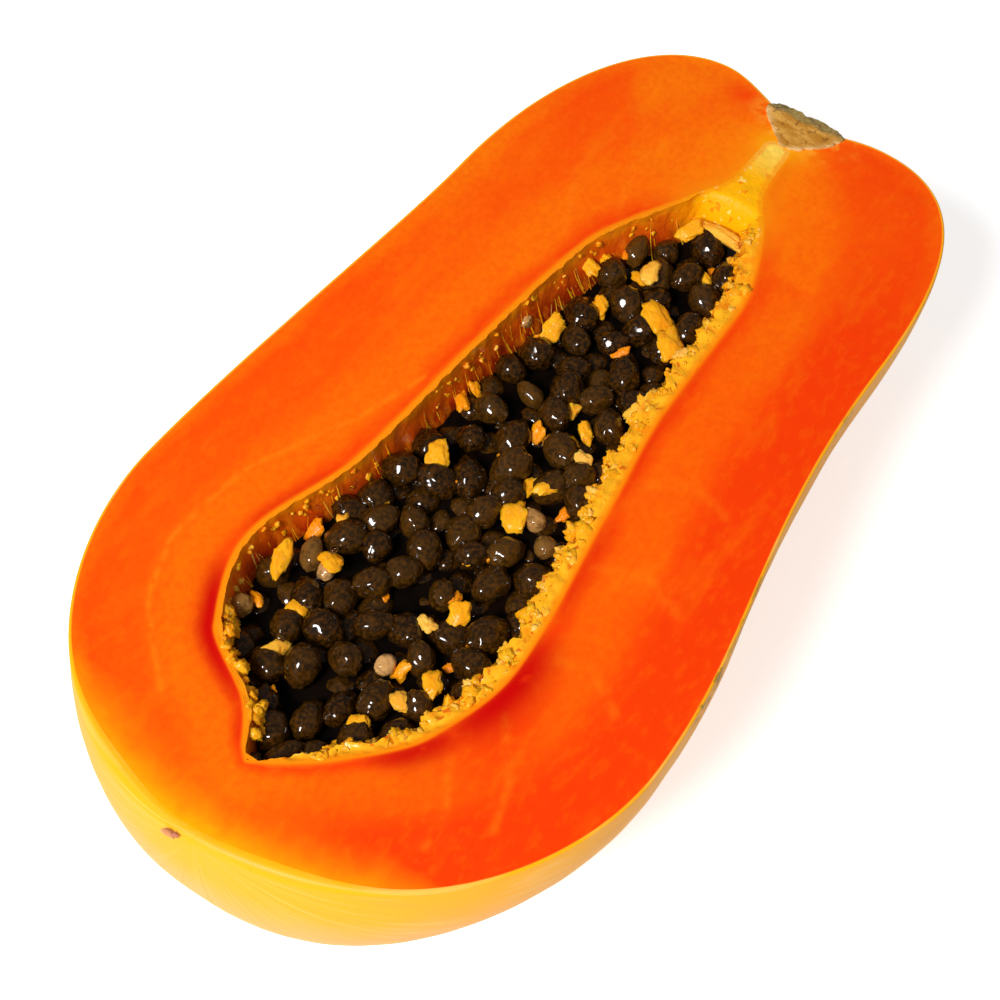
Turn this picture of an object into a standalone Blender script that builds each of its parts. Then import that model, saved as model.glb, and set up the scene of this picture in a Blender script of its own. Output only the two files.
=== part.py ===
"""Half of a ripe papaya, cut lengthwise and resting on its skin.

Four solids that meet along gaps of a few tenths of a millimetre:
  flesh  the half fruit with its skin, hollowed along the middle
  pulp   the soft lining of the hollow, which runs on as a wedge to the stem
  seeds  the heap of seeds that fills the hollow, with an uneven, dished top
  stem   the half of the corky stem plug, set in a pocket at the stem end

Lengths below are millimetres in the fruit's own frame: +X towards the stem, +Z up, and
Z = 0 on the knife's cut. The finished objects are metres, lifted so that the lowest point
stands at Z = 0 under the middle of the fruit.
"""

import math

import bmesh
import bpy
import numpy as np

MM = 0.001
GAP = 0.35                      # left between neighbouring solids

# Skin: a smooth body about the fruit's own axis, which droops at the blossom end.
AXIS_RISE = 1.0                 # the axis above the cut
DROOP = 17.7                    # how far the axis has sunk at X = -100
DROOP_FROM = -40.5              # where it starts to sink
TIP_X = -102.9                  # blossom tip
DIP_X = 98.0                    # floor of the dimple round the stem
DIP_HANDLE = 5.0
SIDE_BEND = 2.7                 # sideways shift of the ends, at X = 100
RIDGE = 0.010                   # height of the five long ridges, over the radius
RIDGES = 5

# Side, from the tip: handle, belly (x, r, before, after), waist (same), shoulder (x, r, before, after).
LEFT_SIDE = (37.5, (-44.0, 57.0, 25.0, 27.5), (49.0, 50.0, 20.5, 29.5), (104.5, 21.0, 19.0, 7.0))
RIGHT_SIDE = (39.5, (-45.5, 58.5, 23.5, 31.5), (50.5, 48.0, 47.0, 33.5), (101.5, 18.0, 20.5, 7.0))
UNDERSIDE = (27.0, (-1.0, 56.0, 50.0, 20.0), (56.0, 52.5, 20.0, 26.0), (102.3, 20.0, 18.0, 7.0))
UNDER_POWER = 3                 # how late the skin's shape turns from the sides' to the underside's

SKIN_COLUMNS = 96               # points round the rim
SKIN_ROWS = 15                  # rows from the rim to the flat spot
SKIN_REACH = (102.0, 55.0, 56.0)  # half length, half width and depth that space the points
LAST_ROW = math.radians(83.0)
FLAT_RISE = 1.1                 # how much of the round underside the flat spot takes
SEARCH = (-0.5, 0.3)            # span of v in which the skin meets the cut
HALVINGS = 40

# Hollow: its left and right edges on the cut (x, y) and its depth (x, d), along the fruit.
HOLLOW_LEFT = ((-84.0, 2.6), (-75.5, 9.0), (-66.0, 23.0), (-48.0, 30.0), (-22.0, 23.3), (12.0, 20.7),
               (45.0, 16.8), (68.0, 5.8), (78.0, 0.8), (89.4, 0.2))
HOLLOW_RIGHT = ((-84.0, 0.8), (-75.5, -10.6), (-62.0, -22.0), (-44.0, -26.7), (-8.0, -22.3),
                (20.0, -18.6), (48.0, -18.1), (66.0, -13.0), (79.0, -6.4), (89.4, -5.4))
HOLLOW_DEPTH = ((-84.0, 7.0), (-77.0, 16.0), (-62.0, 23.5), (-44.0, 27.0), (10.0, 22.0), (48.0, 18.0),
                (66.0, 14.0), (78.0, 5.5), (89.4, 3.0))
HOLLOW_STATIONS = 36
HOLLOW_ARC = 15                 # points across the hollow's wall, edge to edge
END_SHARE = 0.7                 # how much the stations crowd towards the ends
STEEPEST = 0.95                 # largest share of the depth at which a wall may start

# Pulp: thickness at the left wall, the right wall and the floor, and where its hollow ends.
PULP_LEFT = 1.7
PULP_RIGHT = 4.4
PULP_FLOOR = 2.6
SEED_START = -80.8
SEED_END = 71.0
SEED_TAPER = 4.0                # length over which the seeds' space rounds off at both ends

# Seeds: level of the heap below the cut, and its unevenness.
HEAP_LEFT = 5.6                 # at the left wall
HEAP_RIGHT = 5.2                # at the right wall
HEAP_DISH = 1.6                 # extra dip along the middle
HEAP_BUMP = 0.55
HEAP_ACROSS = 11
HEAP_SHARE = 0.6                # the level is never deeper than this share of the hollow

# Stem plug: a blunt cone about X, whose rounded outer end closes the dimple.
PLUG_Y = -4.0
PLUG_PROFILE = ((90.8, 1.2), (93.4, 5.0), (97.6, 8.6), (99.6, 9.2), (100.7, 7.4), (101.1, 3.6))
PLUG_SEGMENTS = 18

LIFT = 8.0                      # how far the cutters reach above the cut
PLUG_CLEAR = 1.3                # widening of the plug's pocket, in gaps
SMOOTH_BELOW = 40               # degrees between faces that are shaded as one

# Colours (linear), roughness
FLESH_LOOK = ((0.95, 0.13, 0.004), 0.38)
PULP_LOOK = ((0.93, 0.42, 0.03), 0.45)
SEEDS_LOOK = ((0.016, 0.012, 0.006), 0.25)
STEM_LOOK = ((0.26, 0.18, 0.07), 0.80)


def clear_scene():
    """Remove every object that is already there."""
    for old in list(bpy.data.objects):
        bpy.data.objects.remove(old, do_unlink=True)


def material(name, look):
    """A plain Principled BSDF material."""
    colour, roughness = look
    made = bpy.data.materials.new(name)
    made.use_nodes = True
    shader = made.node_tree.nodes["Principled BSDF"]
    shader.inputs["Base Color"].default_value = (*colour, 1.0)
    shader.inputs["Roughness"].default_value = roughness
    shader.inputs["Metallic"].default_value = 0.0
    return made


def through(points, at):
    """Smooth curve through (x, value) points that never overshoots them."""
    x = np.array([p[0] for p in points])
    y = np.array([p[1] for p in points])
    slope = np.diff(y) / np.diff(x)
    tangent = np.zeros(len(x))
    rising = slope[:-1] * slope[1:] > 0
    mean = 2 * slope[:-1] * slope[1:] / np.where(rising, slope[:-1] + slope[1:], 1)
    tangent[1:-1] = np.where(rising, mean, 0)
    tangent[0] = slope[0]
    tangent[-1] = slope[-1]
    at = np.clip(at, x[0], x[-1])
    i = np.clip(np.searchsorted(x, at) - 1, 0, len(slope) - 1)
    h = x[i + 1] - x[i]
    t = (at - x[i]) / h
    return (y[i] * (1 + 2 * t) * (1 - t) ** 2 + h * tangent[i] * t * (1 - t) ** 2
            + y[i + 1] * t * t * (3 - 2 * t) + h * tangent[i + 1] * t * t * (t - 1))


def bezier(a, b, c, d, steps=24):
    """Points along one cubic Bezier."""
    t = np.linspace(0.0, 1.0, steps)[:, None]
    a, b, c, d = (np.array(p, float) for p in (a, b, c, d))
    return (1 - t) ** 3 * a + 3 * (1 - t) ** 2 * t * b + 3 * (1 - t) * t * t * c + t ** 3 * d


def side_profile(sizes):
    """One side of the fruit as (angle from the stem end, distance from the centre)."""
    tip_handle, belly, waist, shoulder = sizes
    bx, br, b_in, b_out = belly
    wx, wr, w_in, w_out = waist
    sx, sr, s_in, s_out = shoulder
    curve = np.vstack([
        bezier((TIP_X, 0), (TIP_X, tip_handle), (bx - b_in, br), (bx, br)),
        bezier((bx, br), (bx + b_out, br), (wx - w_in, wr), (wx, wr)),
        bezier((wx, wr), (wx + w_out, wr), (sx, sr + s_in), (sx, sr)),
        bezier((sx, sr), (sx, sr - s_out), (DIP_X, DIP_HANDLE), (DIP_X, 0)),
    ])[::-1]
    angle = np.arctan2(curve[:, 1], curve[:, 0])
    return angle, np.hypot(curve[:, 0], curve[:, 1])


PROFILES = {
    "left": side_profile(LEFT_SIDE),
    "right": side_profile(RIGHT_SIDE),
    "under": side_profile(UNDERSIDE),
}


def skin_point(u, v):
    """A point of the skin: u runs round the fruit, v from the cut (about 0) to straight down."""
    length, width, depth = SKIN_REACH
    aim = np.array([length * math.cos(u) * math.cos(v), width * math.sin(u) * math.cos(v),
                    -depth * math.sin(v)])
    aim /= np.linalg.norm(aim)
    down = -aim[2]
    out = math.hypot(aim[1], down)
    angle = math.atan2(out, aim[0])
    left, right, under = (np.interp(angle, *PROFILES[side]) for side in ("left", "right", "under"))
    leftness = 0.5 + 0.5 * aim[1] / out
    underness = max(0.0, down / out) ** UNDER_POWER
    reach = (1 - underness) * (leftness * left + (1 - leftness) * right) + underness * under
    turn = math.atan2(down, aim[1])
    reach *= 1 + RIDGE * math.sin(RIDGES * turn) * math.sin(angle) ** 2
    point = aim * reach
    point[1] -= SIDE_BEND * (point[0] / 100.0) ** 3
    sunk = max(0.0, DROOP_FROM - point[0]) / (DROOP_FROM + 100.0)
    point[2] += AXIS_RISE - DROOP * sunk * sunk
    return point


def rim_angle(u):
    """The v at which the skin meets the cut."""
    low, high = SEARCH
    for _ in range(HALVINGS):
        middle = 0.5 * (low + high)
        if skin_point(u, middle)[2] > 0:
            low = middle
        else:
            high = middle
    return 0.5 * (low + high)


def skin_rows():
    """Closed rows of points from the rim down to the flat spot."""
    rows = [[] for _ in range(SKIN_ROWS)]
    for column in range(SKIN_COLUMNS):
        u = 2 * math.pi * column / SKIN_COLUMNS
        top = rim_angle(u)
        for k, row in enumerate(rows):
            point = skin_point(u, top + (LAST_ROW - top) * k / (SKIN_ROWS - 1))
            if k == 0:
                point[2] = 0.0
            row.append(point)
    floor = min(p[2] for row in rows for p in row) + FLAT_RISE
    for row in rows:
        for point in row:
            point[2] = max(point[2], floor)
    return rows, floor


def hollow_at(x, left=0.0, right=0.0, floor=0.0):
    """Right edge, left edge and depth of the hollow at x, drawn in by the three margins."""
    return (through(HOLLOW_RIGHT, x) + right, through(HOLLOW_LEFT, x) - left,
            through(HOLLOW_DEPTH, x) - floor)


def wall_arc(x, right, left, depth, top=(0.0, 0.0), count=HOLLOW_ARC):
    """Points down the right wall, across the floor and up the left wall."""
    middle = 0.5 * (right + left)
    half = 0.5 * (left - right)
    first = math.asin(min(STEEPEST, top[0] / depth))
    last = math.pi - math.asin(min(STEEPEST, top[1] / depth))
    arc = []
    for k in range(count):
        turn = first + (last - first) * k / (count - 1)
        arc.append(np.array([x, middle - half * math.cos(turn), -depth * math.sin(turn)]))
    return arc


def stations(start, end, count):
    """Places along X, closer together near both ends."""
    even = np.linspace(0.0, 1.0, count)
    eased = 0.5 - 0.5 * np.cos(math.pi * even)
    return start + (end - start) * ((1 - END_SHARE) * even + END_SHARE * eased)


HOLLOW_X = stations(HOLLOW_LEFT[0][0], HOLLOW_LEFT[-1][0], HOLLOW_STATIONS)


def taper(x):
    """How open the seeds' space is at x: 1 along the fruit, 0 at its ends."""
    near = min(x - SEED_START, SEED_END - x) / SEED_TAPER
    near = min(1.0, max(0.0, near))
    return math.sqrt(1 - (1 - near) ** 2)


def heap_level(x, y, depth):
    """Height of the heap's top, below the cut, where its floor lies at depth."""
    right, left, _ = hollow_at(x)
    across = (y - right) / (left - right)
    level = HEAP_RIGHT + (HEAP_LEFT - HEAP_RIGHT) * across + HEAP_DISH * math.sin(math.pi * across)
    bumps = math.sin(0.83 * x + 1.1 * y) + math.sin(0.57 * x - 0.95 * y + 1.7)
    level -= HEAP_BUMP * bumps * math.sin(math.pi * across)
    return -min(level, HEAP_SHARE * depth)


def mesh_object(name, bm, look):
    """Turn a bmesh in millimetres into a named object in metres."""
    bmesh.ops.recalc_face_normals(bm, faces=bm.faces)
    bmesh.ops.scale(bm, vec=(MM, MM, MM), verts=bm.verts)
    mesh = bpy.data.meshes.new(name)
    bm.to_mesh(mesh)
    bm.free()
    mesh.shade_smooth()
    mesh.set_sharp_from_angle(angle=math.radians(SMOOTH_BELOW))
    made = bpy.data.objects.new(name, mesh)
    bpy.context.collection.objects.link(made)
    if look:
        mesh.materials.append(material(name, look))
    return made


def loft(rings):
    """A closed surface through rings of equal length."""
    bm = bmesh.new()
    made = [[bm.verts.new(p) for p in ring] for ring in rings]
    for ring, following in zip(made, made[1:]):
        count = len(ring)
        for k in range(count):
            n = (k + 1) % count
            bm.faces.new((ring[k], ring[n], following[n], following[k]))
    bm.faces.new(made[0])
    bm.faces.new(made[-1])
    return bm


def hollow_cutter():
    """The whole hollow as a solid that reaches above the cut."""
    rings = []
    for x in HOLLOW_X:
        arc = wall_arc(x, *hollow_at(x))
        lid = [arc[-1] + (0, 0, LIFT), arc[0] + (0, 0, LIFT)]
        rings.append(arc + lid)
    return as_cutter(mesh_object("hollow_cutter", loft(rings), None))


def plug_rings(grow=0.0, lift=0.0):
    """Half turned rings of the stem plug, made larger all round by grow."""
    rings = []
    first, last = PLUG_PROFILE[0], PLUG_PROFILE[-1]
    for x, r in PLUG_PROFILE:
        shift = -grow if (x, r) == first else (LIFT if grow and (x, r) == last else 0.0)
        radius = r + grow * PLUG_CLEAR
        ring = []
        for k in range(PLUG_SEGMENTS + 1):
            turn = math.pi * k / PLUG_SEGMENTS
            ring.append(np.array([x + shift, PLUG_Y + radius * math.cos(turn), -radius * math.sin(turn)]))
        if lift:
            ring.append(ring[-1] + (0, 0, lift))
            ring.append(ring[0] + (0, 0, lift))
        rings.append(ring)
    return rings


def plug_cutter():
    """The pocket that the stem plug sits in."""
    return as_cutter(mesh_object("plug_cutter", loft(plug_rings(GAP, LIFT)), None))


def as_cutter(made):
    """Keep a cutter out of the model."""
    made.hide_render = True
    made.display_type = "WIRE"
    return made


def cut(made, cutter):
    """Take a cutter away from an object."""
    change = made.modifiers.new(cutter.name, "BOOLEAN")
    change.operation = "DIFFERENCE"
    change.solver = "EXACT"
    change.object = cutter


def make_flesh():
    """The half fruit, with the hollow and the stem's pocket cut out of it."""
    rows, floor = skin_rows()
    flesh = mesh_object("flesh", loft(rows), FLESH_LOOK)
    cut(flesh, hollow_cutter())
    cut(flesh, plug_cutter())
    return flesh, floor


def make_pulp():
    """The lining of the hollow and the wedge that runs on to the stem."""
    rings = []
    for x in (*HOLLOW_X[1:-1], HOLLOW_X[-1] - GAP):
        right, left, depth = hollow_at(x, GAP, GAP, GAP)
        outer = wall_arc(x, right, left, depth)
        inside = taper(x)
        inner_right = right + PULP_RIGHT * inside
        inner_left = left - PULP_LEFT * inside
        inner_depth = max(0.0, (depth - PULP_FLOOR) * inside)
        inner = wall_arc(x, inner_right, inner_left, max(inner_depth, 1e-6))
        if inside > 0:
            rings.append(outer + inner[::-1])
        else:
            across = np.linspace(left, right, HOLLOW_ARC + 2)[1:-1]
            rings.append(outer + [np.array([x, y, 0.0]) for y in across])
    return mesh_object("pulp", loft(rings), PULP_LOOK)


def make_seeds():
    """The heap of seeds inside the pulp."""
    rings = []
    for x in HOLLOW_X:
        inside = taper(x)
        if inside == 0:
            continue
        right, left, depth = hollow_at(x, GAP, GAP, GAP)
        right += PULP_RIGHT * inside + GAP
        left -= PULP_LEFT * inside + GAP
        depth = (depth - PULP_FLOOR) * inside - GAP
        tops = (-heap_level(x, right, depth), -heap_level(x, left, depth))
        arc = wall_arc(x, right, left, depth, tops)
        across = np.linspace(arc[-1][1], arc[0][1], HEAP_ACROSS + 2)[1:-1]
        rings.append(arc + [np.array([x, y, heap_level(x, y, depth)]) for y in across])
    return mesh_object("seeds", loft(rings), SEEDS_LOOK)


def make_stem():
    """The half plug of cork at the stem end."""
    return mesh_object("stem", loft(plug_rings()), STEM_LOOK)


def main():
    clear_scene()
    flesh, floor = make_flesh()
    make_pulp()
    make_seeds()
    make_stem()
    bpy.context.view_layer.update()
    corners = [c[0] for c in flesh.bound_box]
    widths = [c[1] for c in flesh.bound_box]
    shift = (-0.5 * (min(corners) + max(corners)), -0.5 * (min(widths) + max(widths)), -floor * MM)
    for made in bpy.data.objects:
        made.location = shift


main()
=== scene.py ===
"""The looks of a papaya half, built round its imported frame.

Shapes are worked out in millimetres in the fruit's own frame: +X towards the stem, +Y to the left
of it, and Z = 0 on the cut. place() then moves them to the frame's metres.
"""

import math

import bmesh
import bpy
import numpy as np
from mathutils import Euler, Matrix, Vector, noise


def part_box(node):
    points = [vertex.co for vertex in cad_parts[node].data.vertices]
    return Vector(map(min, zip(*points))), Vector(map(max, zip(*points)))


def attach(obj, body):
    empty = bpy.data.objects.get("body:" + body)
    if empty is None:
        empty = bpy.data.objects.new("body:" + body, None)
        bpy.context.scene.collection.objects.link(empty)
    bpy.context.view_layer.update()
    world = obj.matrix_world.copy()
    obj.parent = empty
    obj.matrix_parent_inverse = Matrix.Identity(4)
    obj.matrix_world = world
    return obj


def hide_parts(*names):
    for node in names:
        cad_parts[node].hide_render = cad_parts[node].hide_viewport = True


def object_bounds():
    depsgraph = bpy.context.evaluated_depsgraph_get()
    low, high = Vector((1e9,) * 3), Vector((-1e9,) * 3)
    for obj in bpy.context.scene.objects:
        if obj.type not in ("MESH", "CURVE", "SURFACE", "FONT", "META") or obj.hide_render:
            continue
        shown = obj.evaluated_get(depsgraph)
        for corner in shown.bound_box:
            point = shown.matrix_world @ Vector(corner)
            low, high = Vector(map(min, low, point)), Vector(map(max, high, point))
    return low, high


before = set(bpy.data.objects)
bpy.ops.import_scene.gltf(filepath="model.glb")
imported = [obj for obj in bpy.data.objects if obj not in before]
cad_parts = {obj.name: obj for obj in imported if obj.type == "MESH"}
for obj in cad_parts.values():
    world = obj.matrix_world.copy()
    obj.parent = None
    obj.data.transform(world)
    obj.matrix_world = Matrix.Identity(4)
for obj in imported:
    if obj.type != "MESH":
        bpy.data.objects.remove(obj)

bl_info = {
    "name": "Papaya half",
    "version": (1, 0, 0),
    "blender": (4, 5, 0),
    "location": "3D View > Sidebar > Papaya",
    "description": "Builds a ripe papaya half: flesh, skin, pulp, seeds and stem plug",
    "category": "Add Mesh",
}

MM = 0.001
CAD_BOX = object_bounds()
CUT_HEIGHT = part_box("flesh")[1][2] / MM     # of the cut above the surface it rests on

# ---------------------------------------------------------------- the fruit's form, as in the CAD

AXIS_RISE = 1.0
DROOP = 17.7
DROOP_FROM = -40.5
TIP_X = -102.9
DIP_X = 98.0
DIP_HANDLE = 5.0
SIDE_BEND = 2.7
RIDGE = 0.010
RIDGES = 5
LEFT_SIDE = (37.5, (-44.0, 57.0, 25.0, 27.5), (49.0, 50.0, 20.5, 29.5), (104.5, 21.0, 19.0, 7.0))
RIGHT_SIDE = (39.5, (-45.5, 58.5, 23.5, 31.5), (50.5, 48.0, 47.0, 33.5), (101.5, 18.0, 20.5, 7.0))
UNDERSIDE = (27.0, (-1.0, 56.0, 50.0, 20.0), (56.0, 52.5, 20.0, 26.0), (102.3, 20.0, 18.0, 7.0))
UNDER_POWER = 3
SKIN_REACH = (102.0, 55.0, 56.0)
LAST_ROW = math.radians(86.0)

HOLLOW_LEFT = ((-84.0, 2.6), (-75.5, 9.0), (-66.0, 23.0), (-48.0, 30.0), (-22.0, 23.3), (12.0, 20.7),
               (45.0, 16.8), (68.0, 5.8), (78.0, 0.8), (91.5, 0.2))
HOLLOW_RIGHT = ((-84.0, 0.8), (-75.5, -10.6), (-62.0, -22.0), (-44.0, -26.7), (-8.0, -22.3),
                (20.0, -18.6), (48.0, -18.1), (66.0, -13.0), (79.0, -6.4), (91.5, -5.6))
HOLLOW_DEPTH = ((-84.0, 7.0), (-77.0, 16.0), (-62.0, 23.5), (-44.0, 27.0), (10.0, 22.0), (48.0, 18.0),
                (66.0, 14.0), (78.0, 5.5), (91.5, 3.0))
HOLLOW_END_ROUND = 2.4
SEED_START = -83.0
SEED_END = 73.5
START_ROUND = 2.5
END_SLOPE = 7.0
HEAP_LEFT = 5.6
HEAP_RIGHT = 5.2
HEAP_DISH = 1.6

PLUG_Y = -4.0
PLUG_PROFILE = ((90.8, 1.2), (93.4, 5.0), (97.6, 8.6), (99.6, 9.2), (100.7, 7.4), (101.1, 3.6))

# ---------------------------------------------------------------- how finely it is drawn

COLUMNS = 640
SKIN_ROWS = 52
EDGE_ROWS = 6
CUT_ROWS = 58
WALL_ROWS = 9
PULP_STATIONS = 300
PULP_FROM = -83.8         # x of the lining's first and last ring
PULP_TO = 91.3
CREASE = 55.0
LEAST_SHELF = 0.15        # of the lining's width, where the seeds' space has closed
STEM_TURNS = 72
STEM_STEPS = 70
STEM_STRIPS = 40          # across the plug's cut
CORE_STATIONS = 130
CORE_FROM = -82.0
CORE_TO = 68.5
CORE_STRIPS = 30          # across the heap's top
CORE_TURNS = 14           # round its underside

# ---------------------------------------------------------------- how many loose things there are

SMALL_SHREDS = 44
RIM_CRUMBS = 1050         # tries: those between the clumps are left out
TIP_CRUMBS = 70
WALL_CRUMBS = 75
FIBRES = 120
TOP_TRIES = 7200          # tries to place a seed: most find no room
UNDER_TRIES = 8400
SETTLING_ROUNDS = 50
SEEDS_FROM = -78.0        # x of the first and the last scattered seed
SEEDS_TO = 69.0
SEED_REACH = 6.1          # how close two seeds settle, middle to middle

# ---------------------------------------------------------------- places listed one by one, in mm

# Deep red blushes that follow the hollow's edge: x, half length, side (1 left), reach, strength
BLUSHES = ((-66.0, 11.0, 1.0, 2.7, 1.0), (-48.0, 13.0, -1.0, 4.4, 1.0), (-66.0, 7.0, -1.0, 3.2, 0.9),
           (-79.0, 4.0, 1.0, 1.6, 0.5), (-20.0, 12.0, -1.0, 2.4, 0.35), (-38.0, 10.0, 1.0, 1.6, 0.35),
           (15.0, 20.0, -1.0, 1.4, 0.20), (84.0, 7.0, -1.0, 1.6, 0.25))

# Pale strands in the flesh: points, half width, strength
STRANDS = (
    (((0.0, 24.0), (-14.0, 28.5), (-37.0, 39.5), (-56.0, 41.5), (-69.0, 36.5), (-82.0, 22.5)), 0.55, 0.9),
    (((-64.0, -26.5), (-72.0, -32.0), (-80.0, -33.0)), 0.8, 0.5),
    (((-52.0, -30.0), (-62.0, -38.0), (-71.0, -41.0)), 0.7, 0.55),
    (((-38.0, -30.0), (-36.0, -38.0), (-41.0, -46.0)), 0.9, 0.45),
    (((-18.0, -27.0), (-14.0, -36.0), (-18.0, -45.0)), 1.1, 0.4),
    (((2.0, -24.0), (8.0, -32.0), (5.0, -41.0)), 1.0, 0.35),
    (((58.0, 16.0), (70.0, 20.0), (84.0, 15.0)), 0.8, 0.5),
    (((46.0, 22.0), (62.0, 29.0), (82.0, 27.0)), 1.0, 0.4),
)

# Shreds of pulp lying among the seeds: x, y, length, width, thickness, turn, rise above the heap
SHREDS = (
    (41.5, -4.0, 8.5, 5.0, 1.9, 60.0, 0.8), (37.0, -9.5, 9.0, 5.5, 2.0, 40.0, 0.6),
    (36.0, -14.5, 7.0, 4.2, 1.9, -15.0, 1.4), (50.5, 3.6, 5.6, 4.0, 1.9, 20.0, 1.3),
    (63.8, 2.2, 6.0, 3.6, 1.8, -40.0, 1.6), (44.5, 15.2, 6.2, 3.0, 1.6, 70.0, 0.4),
    (38.5, 8.2, 5.4, 3.2, 1.5, 40.0, -1.0), (28.0, 12.6, 6.8, 4.2, 1.6, 10.0, -0.6),
    (-10.5, 13.6, 6.2, 4.6, 1.6, 30.0, 0.2), (-41.2, 16.2, 5.2, 4.2, 1.7, 80.0, 0.3),
    (-46.4, 24.0, 7.6, 3.4, 1.8, 20.0, 0.6), (-51.8, 15.4, 7.0, 3.6, 1.6, 5.0, -0.3),
    (-37.0, -10.0, 4.8, 4.2, 1.9, 30.0, 0.9), (-42.0, -6.4, 4.2, 3.0, 1.5, 70.0, 0.3),
    (-61.6, 13.6, 6.0, 3.4, 1.6, -20.0, 0.0), (-61.0, 8.8, 6.6, 3.4, 1.6, 15.0, -0.3),
    (-13.6, -6.6, 6.8, 4.6, 1.7, 25.0, -0.2), (-4.8, -7.4, 5.0, 3.2, 1.5, -30.0, -0.4),
    (-25.5, -3.6, 4.0, 2.6, 1.4, 50.0, -1.4), (14.0, -1.5, 4.0, 2.4, 1.4, 15.0, -1.6),
    (-57.6, -11.8, 5.4, 3.2, 1.8, 60.0, 0.5), (-52.0, -14.6, 5.8, 3.4, 1.8, 20.0, 0.7),
    (-66.0, -8.6, 4.6, 3.6, 1.8, -30.0, 1.0), (4.5, -10.0, 4.2, 2.8, 1.5, 70.0, -0.4),
    (20.0, -12.5, 5.0, 3.0, 1.6, -20.0, -0.2), (-33.0, 19.0, 4.4, 2.4, 1.4, 45.0, 0.1),
    (66.6, -3.4, 15.0, 3.2, 2.6, 82.0, 1.6), (61.5, -10.0, 5.5, 3.6, 2.4, 60.0, 0.8),
    (56.5, -5.6, 4.6, 2.2, 2.0, 80.0, -1.2), (48.0, 12.2, 5.4, 2.4, 2.0, 60.0, -0.4),
)

# Seeds that stand out: x, y, length, thickness, turn, tone (0 black-brown, 0.5 olive, 1 pale)
ODD_SEEDS = (
    (55.0, 9.6, 7.6, 4.6, 15.0, 0.50), (-41.4, 20.6, 6.8, 4.4, 20.0, 0.60),
    (12.6, 7.6, 6.4, 4.2, 80.0, 0.45), (26.4, 18.6, 4.2, 3.3, 60.0, 0.92),
    (-52.4, -4.4, 4.3, 3.9, 0.0, 1.00), (-42.6, 16.6, 4.3, 3.2, 30.0, 0.95),
    (-57.6, 24.8, 5.2, 4.4, 60.0, 0.80), (7.0, -15.6, 4.6, 3.6, 20.0, 0.88),
    (-11.4, -9.6, 5.0, 3.8, 70.0, 0.85), (-15.6, -14.6, 6.0, 4.4, 40.0, 0.62),
    (61.0, 11.4, 6.4, 5.0, 10.0, 0.05), (30.0, -15.8, 5.4, 4.0, 50.0, 0.40),
)

# Seeds packed into the blossom end: x, y, length, width, rise, turn, tilt
TIP_SEEDS = ((-78.6, -0.6, 8.4, 4.2, 1.5, -20.0, 0.0), (-74.8, 4.4, 8.6, 6.6, -0.2, 20.0, 12.0),
             (-68.6, 0.4, 8.4, 5.6, -0.6, 14.0, 10.0), (-64.0, -2.6, 8.2, 5.2, -1.2, 4.0, 14.0),
             (-59.6, -7.4, 8.6, 6.4, -0.6, 10.0, 8.0), (-71.0, 9.2, 7.4, 6.2, -1.4, 40.0, 0.0),
             (-81.7, 1.5, 4.8, 3.8, 1.6, 10.0, 0.0), (-74.6, -3.8, 6.2, 4.6, -0.9, -30.0, 0.0))

# Blossom scar: its place, and how far the rim is drawn out to it
SCAR = (-102.0, 4.3, -0.6)
NOSE = 0.6

# Lumps of the scar: shift from its place, size, tone
SCAR_LUMPS = (((0.0, 0.0, 0.0), (1.2, 2.2, 0.9), 0.5), ((-0.1, 1.2, -0.6), (1.0, 1.2, 0.9), 0.35),
              ((0.3, -0.9, 0.1), (0.8, 1.2, 0.7), 0.6))

# Green-brown scuffs of the skin: x, side (-1 right), half length, depth below the cut, strength
SCUFFS = ((-25.0, -1.0, 6.0, 1.2, 1.0), (-31.0, -1.0, 3.0, 0.8, 0.8), (-4.0, -1.0, 5.0, 1.6, 0.55),
          (-13.0, -1.0, 3.0, 2.0, 0.6), (36.0, -1.0, 4.0, 1.6, 0.5), (86.0, 1.0, 3.0, 0.5, 0.35))

# Beads of juice: x, y, size, rise above the heap
JUICE = ((-39.6, 16.6, 1.7, 2.4), (64.0, -9.0, 0.9, 5.2), (52.0, -13.0, 0.8, 4.8),
         (45.0, -14.2, 0.9, 4.6), (-28.0, 21.0, 0.8, 4.0), (-35.0, 23.5, 0.9, 4.6))

# Soft spots of colour on the cut face: x, y, half length, half width
YELLOW_BY_PLUG = (90.5, -3.0, 3.2, 4.6)
PALE_BY_PLUG = (92.5, -10.2, 4.0, 3.6)
RUDDY_BELLY = (-55.0, -32.0, 18.0, 10.0)
RUDDY_BY_STEM = (99.0, 11.0, 3.0, 4.0)

# ---------------------------------------------------------------- the stage

FLOOR_REACH = 4.0
FLOOR_GLOW = 0.6
WORLD_SEEN = 0.9          # added to the least strength where the camera sees the world
WORLD_SOFT = 0.21         # added to it for light that falls on matte surfaces
WORLD_LEAST = 0.09
LAMP_PLACE = (-1.02, 0.075, 1.13)
LAMP_TARGET = (0.0, 0.0, 0.04)
LAMP_SIZE = 0.50
LAMP_POWER = 23.0
VIEW_TARGET = (-15.4, -4.2, 0.0)            # in the fruit's millimetres
VIEW_DOWN = math.radians(57.0)
VIEW_TURN = math.radians(34.3)
VIEW_DISTANCE = 0.3878


# ---------------------------------------------------------------- curves and the fruit's form

def rgb(red, green, blue):
    """A colour given as 0 to 255 on screen, made linear."""
    made = []
    for part in (red, green, blue):
        c = part / 255.0
        made.append(c / 12.92 if c <= 0.04045 else ((c + 0.055) / 1.055) ** 2.4)
    return tuple(made)


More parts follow.
